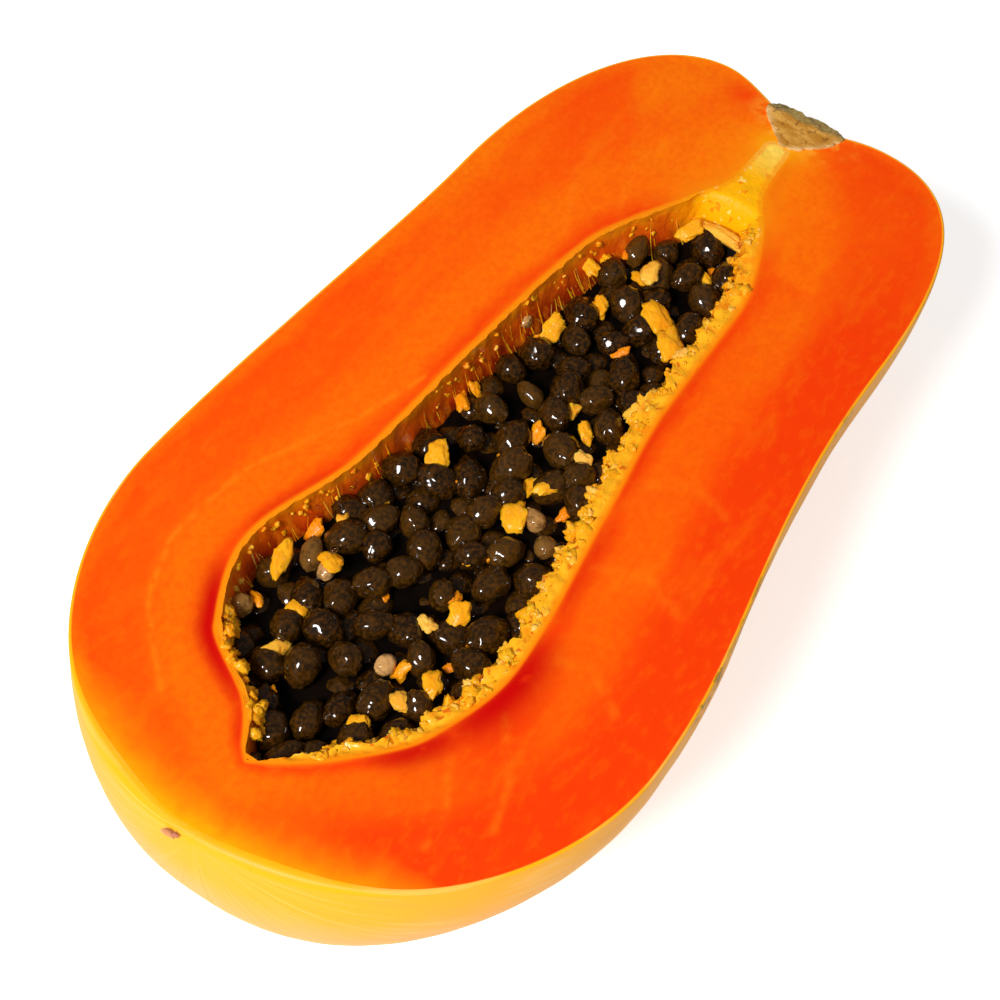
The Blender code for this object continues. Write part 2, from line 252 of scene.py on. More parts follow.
def through(points, at):
    """Smooth curve through (x, value) points that never overshoots them."""
    x = np.array([p[0] for p in points])
    y = np.array([p[1] for p in points])
    slope = np.diff(y) / np.diff(x)
    tangent = np.zeros(len(x))
    rising = slope[:-1] * slope[1:] > 0
    mean = 2 * slope[:-1] * slope[1:] / np.where(rising, slope[:-1] + slope[1:], 1)
    tangent[1:-1] = np.where(rising, mean, 0)
    tangent[0] = slope[0]
    tangent[-1] = slope[-1]
    at = np.clip(at, x[0], x[-1])
    i = np.clip(np.searchsorted(x, at) - 1, 0, len(slope) - 1)
    h = x[i + 1] - x[i]
    t = (at - x[i]) / h
    return (y[i] * (1 + 2 * t) * (1 - t) ** 2 + h * tangent[i] * t * (1 - t) ** 2
            + y[i + 1] * t * t * (3 - 2 * t) + h * tangent[i + 1] * t * t * (t - 1))


def bezier(a, b, c, d, steps=160):
    """Points along one cubic Bezier."""
    t = np.linspace(0.0, 1.0, steps)[:, None]
    a, b, c, d = (np.array(p, float) for p in (a, b, c, d))
    return (1 - t) ** 3 * a + 3 * (1 - t) ** 2 * t * b + 3 * (1 - t) * t * t * c + t ** 3 * d


def side_profile(sizes):
    """One side of the fruit as (angle from the stem end, distance from the centre)."""
    tip_handle, belly, waist, shoulder = sizes
    bx, br, b_in, b_out = belly
    wx, wr, w_in, w_out = waist
    sx, sr, s_in, s_out = shoulder
    curve = np.vstack([
        bezier((TIP_X, 0), (TIP_X, tip_handle), (bx - b_in, br), (bx, br)),
        bezier((bx, br), (bx + b_out, br), (wx - w_in, wr), (wx, wr)),
        bezier((wx, wr), (wx + w_out, wr), (sx, sr + s_in), (sx, sr)),
        bezier((sx, sr), (sx, sr - s_out), (DIP_X, DIP_HANDLE), (DIP_X, 0)),
    ])[::-1]
    angle = np.arctan2(curve[:, 1], curve[:, 0])
    return angle, np.hypot(curve[:, 0], curve[:, 1])


PROFILES = {
    "left": side_profile(LEFT_SIDE),
    "right": side_profile(RIGHT_SIDE),
    "under": side_profile(UNDERSIDE),
}


def skin_points(u, v):
    """Points of the skin: u runs round the fruit, v from the cut (about 0) to straight down."""
    length, width, depth = SKIN_REACH
    aim = np.stack([length * np.cos(u) * np.cos(v), width * np.sin(u) * np.cos(v),
                    -depth * np.sin(v)], -1)
    aim /= np.linalg.norm(aim, axis=-1, keepdims=True)
    down = -aim[..., 2]
    out = np.hypot(aim[..., 1], down)
    angle = np.arctan2(out, aim[..., 0])
    left, right, under = (np.interp(angle, *PROFILES[side]) for side in ("left", "right", "under"))
    leftness = 0.5 + 0.5 * aim[..., 1] / out
    underness = np.maximum(0.0, down / out) ** UNDER_POWER
    reach = (1 - underness) * (leftness * left + (1 - leftness) * right) + underness * under
    turn = np.arctan2(down, aim[..., 1])
    reach *= 1 + RIDGE * np.sin(RIDGES * turn) * np.sin(angle) ** 2
    points = aim * reach[..., None]
    points[..., 1] -= SIDE_BEND * (points[..., 0] / 100.0) ** 3
    sunk = np.maximum(0.0, DROOP_FROM - points[..., 0]) / (DROOP_FROM + 100.0)
    points[..., 2] += AXIS_RISE - DROOP * sunk * sunk
    return points


def skin_angle(u, level):
    """The v at which each column of the skin reaches a level, negative below the cut."""
    low = np.full(u.shape, -0.5)
    high = np.full(u.shape, 0.6)
    for _ in range(32):
        middle = 0.5 * (low + high)
        above = skin_points(u, middle)[:, 2] > level
        low = np.where(above, middle, low)
        high = np.where(above, high, middle)
    return 0.5 * (low + high)


AROUND = 2 * math.pi * np.arange(COLUMNS) / COLUMNS
OUTLINE = skin_points(AROUND, skin_angle(AROUND, np.zeros(COLUMNS)))
OUTLINE[:, 2] = 0.0
BODY = np.vstack([skin_points(AROUND, np.full(COLUMNS, v)) for v in np.linspace(0.0, 1.2, 40)] + [OUTLINE])
BODY = BODY[BODY[:, 2] <= 0.0]
SHIFT = (0.5 * (np.array(CAD_BOX[0]) + np.array(CAD_BOX[1]))[:2] / MM
         - 0.5 * (BODY.min(0) + BODY.max(0))[:2])


def place(points):
    """Fruit millimetres to the frame's metres."""
    moved = np.array(points, float)
    moved[..., 0] += SHIFT[0]
    moved[..., 1] += SHIFT[1]
    moved[..., 2] += CUT_HEIGHT
    return moved * MM


def hollow_at(x):
    """Right edge, left edge and depth of the hollow at x."""
    right = through(HOLLOW_RIGHT, x)
    left = through(HOLLOW_LEFT, x)
    ends = np.minimum(x - HOLLOW_LEFT[0][0], HOLLOW_LEFT[-1][0] - x) / HOLLOW_END_ROUND
    ends = 1 - np.clip(ends, 0.0, 1.0)
    width = np.sqrt(1 - ends * ends)
    middle = 0.5 * (right + left)
    half = 0.5 * (left - right) * width
    return middle - half, middle + half, through(HOLLOW_DEPTH, x) * (0.4 + 0.6 * width)


def hollow_edge(u):
    """The hollow's outline on the cut, matched to the columns of the skin."""
    start, end = HOLLOW_LEFT[0][0], HOLLOW_LEFT[-1][0]
    x = 0.5 * (start + end) + 0.5 * (end - start) * np.cos(u)
    right, left, _ = hollow_at(x)
    y = np.where(np.sin(u) >= 0, left, right)
    return np.stack([x, y, np.zeros_like(x)], -1)


def heap_level(x, y):
    """Level of the heap's top, negative below the cut."""
    right, left, depth = hollow_at(x)
    across = np.clip((y - right) / np.maximum(left - right, 0.1), 0.0, 1.0)
    level = HEAP_RIGHT + (HEAP_LEFT - HEAP_RIGHT) * across + HEAP_DISH * np.sin(math.pi * across)
    return -np.minimum(level, 0.6 * depth)


def climb(values, start, run):
    """0 up to the start, rising evenly to 1 at the end of the run; a negative run rises backwards."""
    return np.clip((values - start) / run, 0, 1)


def near_tip(x):
    """1 where the hollow narrows towards the blossom end, fading on both sides."""
    return math.exp(-((x + 72.0) / 6.5) ** 2)


def spot(points, x, y, half_long, half_wide):
    """A soft round spot: 1 at its middle, fading outwards."""
    return np.exp(-((points[:, 0] - x) / half_long) ** 2 - ((points[:, 1] - y) / half_wide) ** 2)


def distance_to(points, line):
    """Distance on the cut from each point to the nearest one of a run of points."""
    nearest = np.full(len(points), 1e9)
    for k in range(0, len(points), 4000):
        gap = points[k:k + 4000, None, :2] - line[None, :, :2]
        nearest[k:k + 4000] = np.sqrt((gap ** 2).sum(-1).min(1))
    return nearest


def uneven(points, size, seed=0.0):
    """Smooth noise from -1 to 1 whose bumps are about size millimetres wide."""
    scale = 1.0 / size
    offset = Vector((seed * 17.3, seed * 5.1, seed * 9.7))
    flat = np.asarray(points, float).reshape(-1, 3)
    values = [noise.noise(Vector(p) * scale + offset) for p in flat]
    return np.array(values).reshape(np.asarray(points).shape[:-1])


# ---------------------------------------------------------------- meshes

def grid_quads(rows, columns):
    """Quads between neighbouring closed rows."""
    i = np.arange(rows - 1)[:, None] * columns
    j = np.arange(columns)[None, :]
    n = (j + 1) % columns
    return np.stack([i + j, i + n, i + columns + n, i + columns + j], -1).reshape(-1, 4).tolist()


def tube_faces(rows, columns):
    """Faces of a tube of closed rows, with flat ends."""
    faces = grid_quads(rows, columns)
    faces.append(list(range(columns))[::-1])
    faces.append([(rows - 1) * columns + k for k in range(columns)])
    return faces


def zip_faces(start, columns):
    """Close a row by joining each column to the one opposite it."""
    faces = [[start, start + 1, start + columns - 1]]
    for k in range(1, columns // 2 - 1):
        faces.append([start + k, start + k + 1, start + columns - k - 1, start + columns - k])
    half = columns // 2
    faces.append([start + half - 1, start + half, start + half + 1])
    return faces


def make_piece(name, points, faces, materials, nodes=(), attributes=None, face_slots=None,
               crease=None):
    """A shaded mesh piece that rides on the fruit's one body."""
    mesh = bpy.data.meshes.new(name)
    mesh.from_pydata(place(points).tolist(), [], faces)
    for material in materials:
        mesh.materials.append(material)
    if face_slots is not None:
        mesh.polygons.foreach_set("material_index", face_slots)
    for key, values in (attributes or {}).items():
        layer = mesh.attributes.new(key, "FLOAT", "POINT")
        layer.data.foreach_set("value", np.asarray(values, np.float32).ravel())
    bm = bmesh.new()
    bm.from_mesh(mesh)
    bmesh.ops.recalc_face_normals(bm, faces=bm.faces)
    bm.to_mesh(mesh)
    bm.free()
    mesh.shade_smooth()
    if crease:
        mesh.set_sharp_from_angle(angle=math.radians(crease))
    piece = bpy.data.objects.new(name, mesh)
    bpy.context.scene.collection.objects.link(piece)
    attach(piece, "root")
    if nodes:
        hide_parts(*nodes)
    return piece


def ball(rings, segments):
    """Unit ball: points, and faces as index rows."""
    points = [(0.0, 0.0, 1.0)]
    for i in range(1, rings):
        tilt = math.pi * i / rings
        for j in range(segments):
            turn = 2 * math.pi * j / segments
            points.append((math.sin(tilt) * math.cos(turn), math.sin(tilt) * math.sin(turn), math.cos(tilt)))
    points.append((0.0, 0.0, -1.0))
    faces = [[0, 1 + j, 1 + (j + 1) % segments] for j in range(segments)]
    for i in range(rings - 2):
        a = 1 + i * segments
        for j in range(segments):
            n = (j + 1) % segments
            faces.append([a + j, a + segments + j, a + segments + n, a + n])
    last = 1 + (rings - 2) * segments
    bottom = len(points) - 1
    faces += [[last + (j + 1) % segments, last + j, bottom] for j in range(segments)]
    return np.array(points), faces


def join_copies(shapes, faces, tones=None):
    """Many copies of one topology as a single run of points, faces and a tone for each point."""
    count = len(shapes[0])
    points = np.vstack(shapes)
    joined = []
    for k in range(len(shapes)):
        joined += [[index + k * count for index in face] for face in faces]
    spread = np.repeat(np.zeros(len(shapes)) if tones is None else np.array(tones), count)
    return points, joined, spread


# ---------------------------------------------------------------- shader building blocks

class Nodes:
    """Short hand for adding and joining nodes in one tree."""

    def __init__(self, tree):
        self.tree = tree

    def add(self, kind, **settings):
        """A node, with its settings."""
        node = self.tree.nodes.new(kind)
        for key, value in settings.items():
            setattr(node, key, value)
        return node

    def join(self, output, socket):
        """A link."""
        self.tree.links.new(output, socket)

    def feed(self, socket, value):
        """Link a socket's value, or set it as a number."""
        if isinstance(value, bpy.types.NodeSocket):
            self.join(value, socket)
        else:
            socket.default_value = value

    def layer(self, name):
        """A mesh attribute's value."""
        return self.add("ShaderNodeAttribute", attribute_name=name).outputs["Fac"]

    def math(self, operation, first, second):
        """A Math node's value."""
        node = self.add("ShaderNodeMath", operation=operation)
        self.feed(node.inputs[0], first)
        self.feed(node.inputs[1], second)
        return node.outputs[0]

    def times(self, first, second):
        """Two values multiplied."""
        return self.math("MULTIPLY", first, second)

    def spread(self, value, low, high):
        """0 at the low value and 1 at the high one, smoothly, and never outside them."""
        node = self.add("ShaderNodeMapRange", interpolation_type="SMOOTHSTEP")
        self.feed(node.inputs["Value"], value)
        node.inputs["From Min"].default_value = low
        node.inputs["From Max"].default_value = high
        return node.outputs["Result"]

    def ramp(self, factor, stops):
        """Colours along a value: stops are (place, colour)."""
        node = self.add("ShaderNodeValToRGB")
        elements = node.color_ramp.elements
        for extra in stops[2:]:
            elements.new(extra[0])
        for element, (at, colour) in zip(sorted(elements, key=lambda e: e.position), sorted(stops)):
            element.position = at
            element.color = (*colour[:3], 1.0)
        self.join(factor, node.inputs["Fac"])
        return node.outputs["Color"]

    def blend(self, factor, first, second, kind="MIX"):
        """Two colours mixed."""
        node = self.add("ShaderNodeMix", data_type="RGBA", blend_type=kind)
        self.feed(node.inputs["Factor"], factor)
        for socket, value in ((node.inputs[6], first), (node.inputs[7], second)):
            self.feed(socket, value if isinstance(value, bpy.types.NodeSocket) else (*value[:3], 1.0))
        return node.outputs[2]

    def noise(self, scale, detail=3.0, stretch=None, roughness=0.55):
        """Noise in the object's own space, in features per metre, drawn out along an axis if asked."""
        coordinates = self.add("ShaderNodeTexCoord").outputs["Object"]
        if stretch:
            mapping = self.add("ShaderNodeMapping")
            mapping.inputs["Scale"].default_value = stretch
            self.join(coordinates, mapping.inputs["Vector"])
            coordinates = mapping.outputs["Vector"]
        node = self.add("ShaderNodeTexNoise")
        node.inputs["Scale"].default_value = scale
        node.inputs["Detail"].default_value = detail
        node.inputs["Roughness"].default_value = roughness
        self.join(coordinates, node.inputs["Vector"])
        return node.outputs["Fac"]

    def wander(self, scale, reach):
        """Noise about 0, which moves a border to and fro by up to half the reach."""
        return self.times(self.math("SUBTRACT", self.noise(scale, 3.0), 0.5), reach)

    def group(self, tree, **values):
        """A shared node group with its own values."""
        node = self.add("ShaderNodeGroup", node_tree=tree)
        for key, value in values.items():
            self.feed(node.inputs[key.replace("_", " ")], value)
        return node


def new_material(name, roughness, coat=0.0, coat_roughness=0.1, subsurface=0.0, specular=0.5):
    """A material with its Principled BSDF's plain values set, and its Nodes."""
    material = bpy.data.materials.new(name)
    material.use_nodes = True
    shader = material.node_tree.nodes["Principled BSDF"]
    shader.inputs["Roughness"].default_value = roughness
    shader.inputs["Specular IOR Level"].default_value = specular
    shader.inputs["Coat Weight"].default_value = coat
    shader.inputs["Coat Roughness"].default_value = coat_roughness
    shader.inputs["Coat IOR"].default_value = 1.33
    shader.inputs["Subsurface Weight"].default_value = subsurface
    shader.inputs["Subsurface Radius"].default_value = (1.0, 0.35, 0.08)
    shader.inputs["Subsurface Scale"].default_value = 0.0015
    return material, shader, Nodes(material.node_tree)


def paint(kit, shader, tone, grain):
    """Give a material its colour and its relief."""
    kit.join(tone, shader.inputs["Base Color"])
    kit.join(grain.outputs["Normal"], shader.inputs["Normal"])


def speckle_group():
    """Shared effect: coarse and fine natural unevenness as one mask and one wet relief normal."""
    name = "Natural unevenness"
    if name in bpy.data.node_groups:
        return bpy.data.node_groups[name]
    tree = bpy.data.node_groups.new(name, "ShaderNodeTree")
    for label, default in (("Coarse Scale", 120.0), ("Fine Scale", 900.0), ("Relief", 0.2)):
        socket = tree.interface.new_socket(label, in_out="INPUT", socket_type="NodeSocketFloat")
        socket.default_value = default
    tree.interface.new_socket("Mask", in_out="OUTPUT", socket_type="NodeSocketFloat")
    tree.interface.new_socket("Fine Mask", in_out="OUTPUT", socket_type="NodeSocketFloat")
    tree.interface.new_socket("Normal", in_out="OUTPUT", socket_type="NodeSocketVector")
    kit = Nodes(tree)
    given = kit.add("NodeGroupInput")
    result = kit.add("NodeGroupOutput")
    place_in = kit.add("ShaderNodeTexCoord").outputs["Object"]
    masks = []
    for label, detail in (("Coarse Scale", 2.0), ("Fine Scale", 4.0)):
        texture = kit.add("ShaderNodeTexNoise")
        texture.inputs["Detail"].default_value = detail
        kit.join(place_in, texture.inputs["Vector"])
        kit.join(given.outputs[label], texture.inputs["Scale"])
        masks.append(texture.outputs["Fac"])
    both = kit.math("ADD", kit.times(masks[0], 0.6), kit.times(masks[1], 0.4))
    bump = kit.add("ShaderNodeBump")
    bump.inputs["Distance"].default_value = 0.0006
    kit.join(given.outputs["Relief"], bump.inputs["Strength"])
    kit.join(both, bump.inputs["Height"])
    kit.join(both, result.inputs["Mask"])
    kit.join(masks[1], result.inputs["Fine Mask"])
    kit.join(bump.outputs["Normal"], result.inputs["Normal"])
    return tree


# ---------------------------------------------------------------- properties

def colour(name, description, default):
    """A colour property."""
    return bpy.props.FloatVectorProperty(name=name, description=description, default=default,
                                         subtype="COLOR", size=3, min=0.0, max=1.0)


def length(name, description, default):
    """A length property, in metres."""
    return bpy.props.FloatProperty(name=name, description=description, default=default, unit="LENGTH",
                                   min=0.0)


class PapayaColours(bpy.types.PropertyGroup):
    """Colours of the fruit."""

    flesh_light: colour("Flesh, light", "Lighter bands of the cut flesh", rgb(255, 108, 2))
    flesh_deep: colour("Flesh, deep", "Deeper bands of the cut flesh", rgb(253, 86, 2))
    flesh_pale: colour("Flesh, pale", "Palest flesh towards the stem", rgb(255, 128, 4))
    # deepest orange: painted shade on the right side, and the flesh's own random mottle
    flesh_ruddy_and_shade: colour("Flesh, ruddy", "Deepest bands on the sunny side", rgb(246, 58, 2))
    blush: colour("Blush", "Deep red patches beside the hollow", rgb(202, 5, 2))
    yellowing: colour("Yellowing", "Flesh at the blossom end", rgb(255, 178, 3))
    peel: colour("Peel", "Thin line of peel on the cut", rgb(255, 190, 60))
    skin: colour("Skin", "Ripe skin just under the cut", rgb(255, 176, 4))
    # paler skin lower down: painted highlight
    skin_pale_painted_highlight: colour("Skin, pale", "Skin lower down", rgb(254, 178, 80))
    # orange of the skin's right side: painted shade
    skin_warm_shade: colour("Skin, warm", "Orange cast of the sunny side", rgb(255, 170, 18))
    skin_green: colour("Skin, scuffs", "Green-brown scuffs", rgb(96, 84, 28))
    pulp: colour("Pulp", "Yellow pulp", rgb(255, 178, 26))
    pulp_orange: colour("Pulp, orange", "Wet lining of the hollow", rgb(246, 112, 8))
    # darkest lining deep in the hollow: painted shade
    pulp_depth_shade: colour("Pulp, dark", "Depth of the lining", rgb(104, 32, 5))
    seed: colour("Seed", "Black-brown seed coats", rgb(25, 12, 1))
    seed_olive: colour("Seed, olive", "Gold-brown net of the coats", rgb(112, 66, 12))
    seed_pale: colour("Seed, pale", "Unripe seeds", rgb(226, 170, 104))
    cork: colour("Cork", "Stem plug", rgb(152, 124, 64))
    cork_core: colour("Cork core", "Cut heart of the plug", rgb(188, 124, 34))
    floor: colour("Floor", "Floor", rgb(250, 250, 250))


class PapayaSizes(bpy.types.PropertyGroup):
    """Sizes of the finish."""

    edge: length("Cut edge", "Rounding of the cut edge", 0.0005)
    tip_edge: length("Blossom edge", "Rounding of the edge at the blossom end", 0.0026)
    peel: length("Peel", "Thickness of the peel", 0.0006)
    lining_left: length("Lining, left", "Pulp at the left wall", 0.0009)
    lining_right: length("Lining, right", "Pulp at the right wall", 0.0036)
    seed_length: length("Seed length", "Length of a seed", 0.0080)
    seed_width: length("Seed width", "Width of a seed", 0.0065)
    seed_spacing: length("Seed spacing", "Distance between seeds on top", 0.0062)
    lens: bpy.props.FloatProperty(name="Lens", description="Focal length", default=75.0, unit="CAMERA")


def colours():
    """The colour settings."""
    return bpy.context.scene.papaya_colours


def millimetres(name):
    """A size setting in millimetres."""
    return getattr(bpy.context.scene.papaya_sizes, name) / MM


# ---------------------------------------------------------------- materials

def flesh_material():
    """Cut flesh: bands from the hollow to the peel, blushes, strands and fine moist grain."""
    c = colours()
    material, shader, kit = new_material("papaya_flesh", 0.5, specular=0.06)
    grain = kit.group(speckle_group(), Coarse_Scale=110.0, Fine_Scale=900.0, Relief=0.10)
    wander = kit.wander(55.0, 0.20)
    shifted = kit.math("ADD", kit.layer("layer"), wander)
    band = kit.ramp(shifted, [
        (0.00, rgb(250, 98, 3)), (0.05, rgb(247, 68, 2)), (0.16, c.flesh_light), (0.34, c.flesh_light),
        (0.52, rgb(253, 88, 2)), (0.72, c.flesh_deep), (0.86, rgb(252, 80, 2)), (0.96, rgb(252, 104, 3)),
    ])
    patches = kit.spread(kit.noise(45.0, 2.0, (0.5, 1.0, 1.0)), 0.38, 0.62)
    pale = kit.times(kit.layer("stemward"), patches)
    band = kit.blend(kit.times(pale, 0.75), band, c.flesh_pale)
    # deeper orange, mostly on the right side: painted shade; the spots are the flesh's own colour
    band = kit.blend(kit.times(kit.layer("ruddy_and_shade"), 0.95), band, c.flesh_ruddy_and_shade)
    mottle = kit.spread(grain.outputs["Fine Mask"], 0.36, 0.66)
    band = kit.blend(kit.times(mottle, 0.26), band, c.flesh_ruddy_and_shade)
    streaks = kit.spread(kit.noise(150.0, 3.0, (0.25, 1.0, 1.0)), 0.52, 0.74)
    band = kit.blend(kit.times(streaks, 0.24), band, c.flesh_pale)
    grains = kit.spread(kit.noise(640.0, 3.0, (0.5, 1.0, 1.0)), 0.48, 0.70)
    band = kit.blend(kit.times(grains, 0.14), band, c.flesh_pale)
    strand = kit.times(kit.layer("strand"), kit.spread(kit.noise(300.0, 2.0), 0.3, 0.6))
    band = kit.blend(kit.times(strand, 0.7), band, rgb(255, 132, 14))
    blush = kit.times(kit.layer("blush"), kit.spread(kit.noise(260.0, 3.0), 0.05, 0.42))
    band = kit.blend(blush, band, c.blush)
    glow = kit.times(kit.layer("glow"), kit.spread(kit.noise(420.0, 3.0), 0.0, 0.45))
    band = kit.blend(glow, band, rgb(254, 140, 6))
    fibres = kit.spread(kit.noise(460.0, 4.0, (1.0, 0.7, 1.0)), 0.42, 0.62)
    ring = kit.times(kit.layer("stemring"), kit.math("ADD", kit.times(fibres, 0.4), 0.2))
    band = kit.blend(ring, band, kit.blend(fibres, rgb(244, 118, 10), rgb(252, 168, 44)))
    band = kit.blend(kit.layer("yellowing"), band, c.yellowing)
    line = kit.spread(kit.layer("peel"), 0.35, 0.9)
    band = kit.blend(line, band, c.peel)
    paint(kit, shader, band, grain)
    return material


def skin_material():
    """Skin: yellow under the cut, paler below as a painted highlight, with long streaks, pores and scuffs."""
    c = colours()
    material, shader, kit = new_material("papaya_skin", 0.5, coat=0.18, coat_roughness=0.28,
                                         specular=0.15)
    grain = kit.group(speckle_group(), Coarse_Scale=140.0, Fine_Scale=1100.0, Relief=0.12)
    wander = kit.wander(70.0, 9.0)
    lower = kit.math("ADD", kit.layer("depth"), wander)
    # paler lower down: painted highlight
    tone = kit.ramp(kit.spread(lower, 0.0, 40.0), [
        (0.0, c.skin), (0.14, c.skin), (0.42, c.skin_pale_painted_highlight), (1.0, rgb(252, 190, 112))])
    # deeper, warmer orange on the right side of the skin: painted shade
    shade_patches = kit.spread(kit.noise(55.0, 3.0, (0.4, 1.0, 1.0)), 0.25, 0.60)
    tone = kit.blend(kit.times(kit.layer("shaded_right"), shade_patches), tone, c.skin_warm_shade)
    round_fruit = kit.add("ShaderNodeCombineXYZ")
    kit.join(kit.layer("meridian"), round_fruit.inputs["X"])
    kit.join(kit.layer("along"), round_fruit.inputs["Y"])
    lines = kit.add("ShaderNodeTexNoise")
    lines.inputs["Scale"].default_value = 1.0
    lines.inputs["Detail"].default_value = 3.0
    kit.join(round_fruit.outputs["Vector"], lines.inputs["Vector"])
    streaks = kit.spread(lines.outputs["Fac"], 0.52, 0.70)
    tone = kit.blend(kit.times(streaks, 0.5), tone, rgb(255, 192, 100))
    dull = kit.spread(lines.outputs["Fac"], 0.46, 0.34)
    tone = kit.blend(kit.times(dull, 0.4), tone, rgb(248, 166, 44))
    pores = kit.spread(kit.noise(900.0, 1.0), 0.70, 0.80)
    tone = kit.blend(kit.times(pores, 0.35), tone, rgb(214, 140, 30))
    scuff = kit.times(kit.layer("scuff"), kit.spread(kit.noise(420.0, 4.0), 0.40, 0.58))
    tone = kit.blend(scuff, tone, c.skin_green)
    paint(kit, shader, tone, grain)
    return material


def pulp_material(name, loose):
    """Pulp: yellow where it is thick or loose, wet orange down the wall, and darker deeper down as painted
    shade.
    """
    c = colours()
    material, shader, kit = new_material(name, 0.36, coat=0.4, coat_roughness=0.15,
                                         subsurface=0.35 if loose else 0.06, specular=0.12)
    grain = kit.group(speckle_group(), Coarse_Scale=330.0, Fine_Scale=1500.0, Relief=0.5)
    if loose:
        tone = kit.ramp(kit.layer("tone"), [(0.0, rgb(254, 132, 6)), (0.4, rgb(255, 168, 16)), (0.7, c.pulp),
                                            (1.0, rgb(255, 214, 120))])
        patch = kit.spread(grain.outputs["Mask"], 0.40, 0.58)
        tone = kit.blend(kit.times(patch, 0.35), tone, rgb(250, 138, 6))
        pale = kit.spread(grain.outputs["Fine Mask"], 0.60, 0.74)
        tone = kit.blend(kit.times(pale, 0.5), tone, rgb(255, 222, 130))
    else:
        # wall orange that turns darker deeper down: painted shade over the lining's own colour
        wander = kit.wander(240.0, 5.0)
        fall = kit.math("ADD", kit.layer("depth"), wander)
        wall = kit.ramp(kit.spread(fall, 0.0, 12.0), [
            (0.0, rgb(254, 146, 10)), (0.10, c.pulp_orange), (0.36, rgb(222, 84, 8)),
            (0.70, rgb(166, 46, 5)), (1.0, c.pulp_depth_shade)])
        drips = kit.spread(kit.noise(420.0, 4.0, (1.0, 1.0, 0.22)), 0.50, 0.66)
        wall = kit.blend(kit.times(drips, 0.5), wall, rgb(250, 134, 14))
        yellow = kit.times(kit.layer("thick"), kit.spread(kit.noise(330.0, 3.0), 0.30, 0.50))
        tone = kit.blend(yellow, wall, c.pulp)
        pits = kit.spread(kit.noise(560.0, 3.0), 0.58, 0.68)
        reddish = kit.times(kit.times(kit.layer("thick"), pits), 0.8)
        tone = kit.blend(reddish, tone, rgb(206, 66, 6))
        tone = kit.blend(kit.layer("wedge"), tone, rgb(255, 178, 3))
        holes = kit.times(kit.layer("wedge"), kit.spread(kit.noise(520.0, 2.0), 0.60, 0.68))
        tone = kit.blend(kit.times(holes, 0.6), tone, rgb(246, 108, 4))
        dots = kit.times(kit.layer("wedge"), kit.spread(kit.noise(620.0, 2.0), 0.62, 0.70))
        tone = kit.blend(dots, tone, rgb(255, 216, 110))
        tone = kit.blend(kit.layer("stemward"), tone, rgb(255, 210, 84))
        brim = kit.math("MAXIMUM", kit.spread(kit.layer("brim"), 0.0, 1.7),
                        kit.times(kit.layer("wedge"), 0.4))
        tone = kit.blend(brim, rgb(254, 140, 6), tone)
        dry = kit.math("SUBTRACT", 1.0, kit.layer("wedge"))
        kit.join(kit.times(kit.times(brim, dry), 0.45), shader.inputs["Coat Weight"])
    paint(kit, shader, tone, grain)
    return material


def seed_material(name, wrinkle):
    """Seed coats: black-brown with a gold-brown net under a clear wet sac."""
    c = colours()
    material, shader, kit = new_material(name, 0.5, coat=1.0, coat_roughness=0.09, specular=0.02)
    shader.inputs["Coat IOR"].default_value = 1.5
    grain = kit.group(speckle_group(), Coarse_Scale=480.0, Fine_Scale=1300.0, Relief=wrinkle)
    base = kit.ramp(kit.layer("tone"), [(0.0, c.seed), (0.5, rgb(78, 50, 12)), (0.8, rgb(164, 116, 56)),
                                        (1.0, c.seed_pale)])
    net = kit.spread(grain.outputs["Fine Mask"], 0.36, 0.74)
    base = kit.blend(kit.times(net, 0.42), base, c.seed_olive)
    shade = kit.spread(grain.outputs["Mask"], 0.47, 0.38)
    base = kit.blend(kit.times(shade, 0.5), base, c.seed)
    paint(kit, shader, base, grain)
    return material


def painted_shade_core_material():
    """The heap's heart, near-black all over: painted shade that shows in the gaps between the seeds."""
    material, shader, kit = new_material("papaya_heap_core_painted_shade", 0.6, specular=0.08)
    # near-black tones: painted shade between the seeds
    tone = kit.ramp(kit.noise(260.0, 3.0), [(0.35, rgb(3, 1, 0)), (0.80, rgb(20, 7, 1))])
    kit.join(tone, shader.inputs["Base Color"])
    return material


def cork_material():
    """Stem plug: dry grey-brown cork outside, golden and fibrous where it is cut."""
    c = colours()
    material, shader, kit = new_material("papaya_cork", 0.82, specular=0.2)
    grain = kit.group(speckle_group(), Coarse_Scale=420.0, Fine_Scale=1700.0, Relief=0.9)
    fibres = kit.spread(kit.noise(520.0, 4.0, (1.0, 0.35, 1.0)), 0.35, 0.66)
    crumbly = kit.spread(grain.outputs["Fine Mask"], 0.40, 0.62)
    outside = kit.blend(fibres, c.cork, rgb(96, 80, 46))
    outside = kit.blend(kit.times(crumbly, 0.5), outside, rgb(176, 150, 96))
    inside = kit.blend(kit.times(fibres, 0.8), c.cork_core, rgb(232, 172, 80))
    tone = kit.blend(kit.layer("heart"), outside, inside)
    specks = kit.spread(kit.noise(800.0, 3.0), 0.56, 0.68)
    tone = kit.blend(kit.times(specks, 0.6), tone, rgb(118, 72, 24))
    tone = kit.blend(kit.times(kit.layer("fringe"), kit.math("ADD", fibres, 0.3)), tone,
                     rgb(238, 190, 124))
    paint(kit, shader, tone, grain)
    return material


# ---------------------------------------------------------------- the pieces

def tipness(u):
    """1 at the blossom end, falling to 0 on either side of it."""
    return np.exp(-((np.abs(u - math.pi)) / 0.55) ** 4)


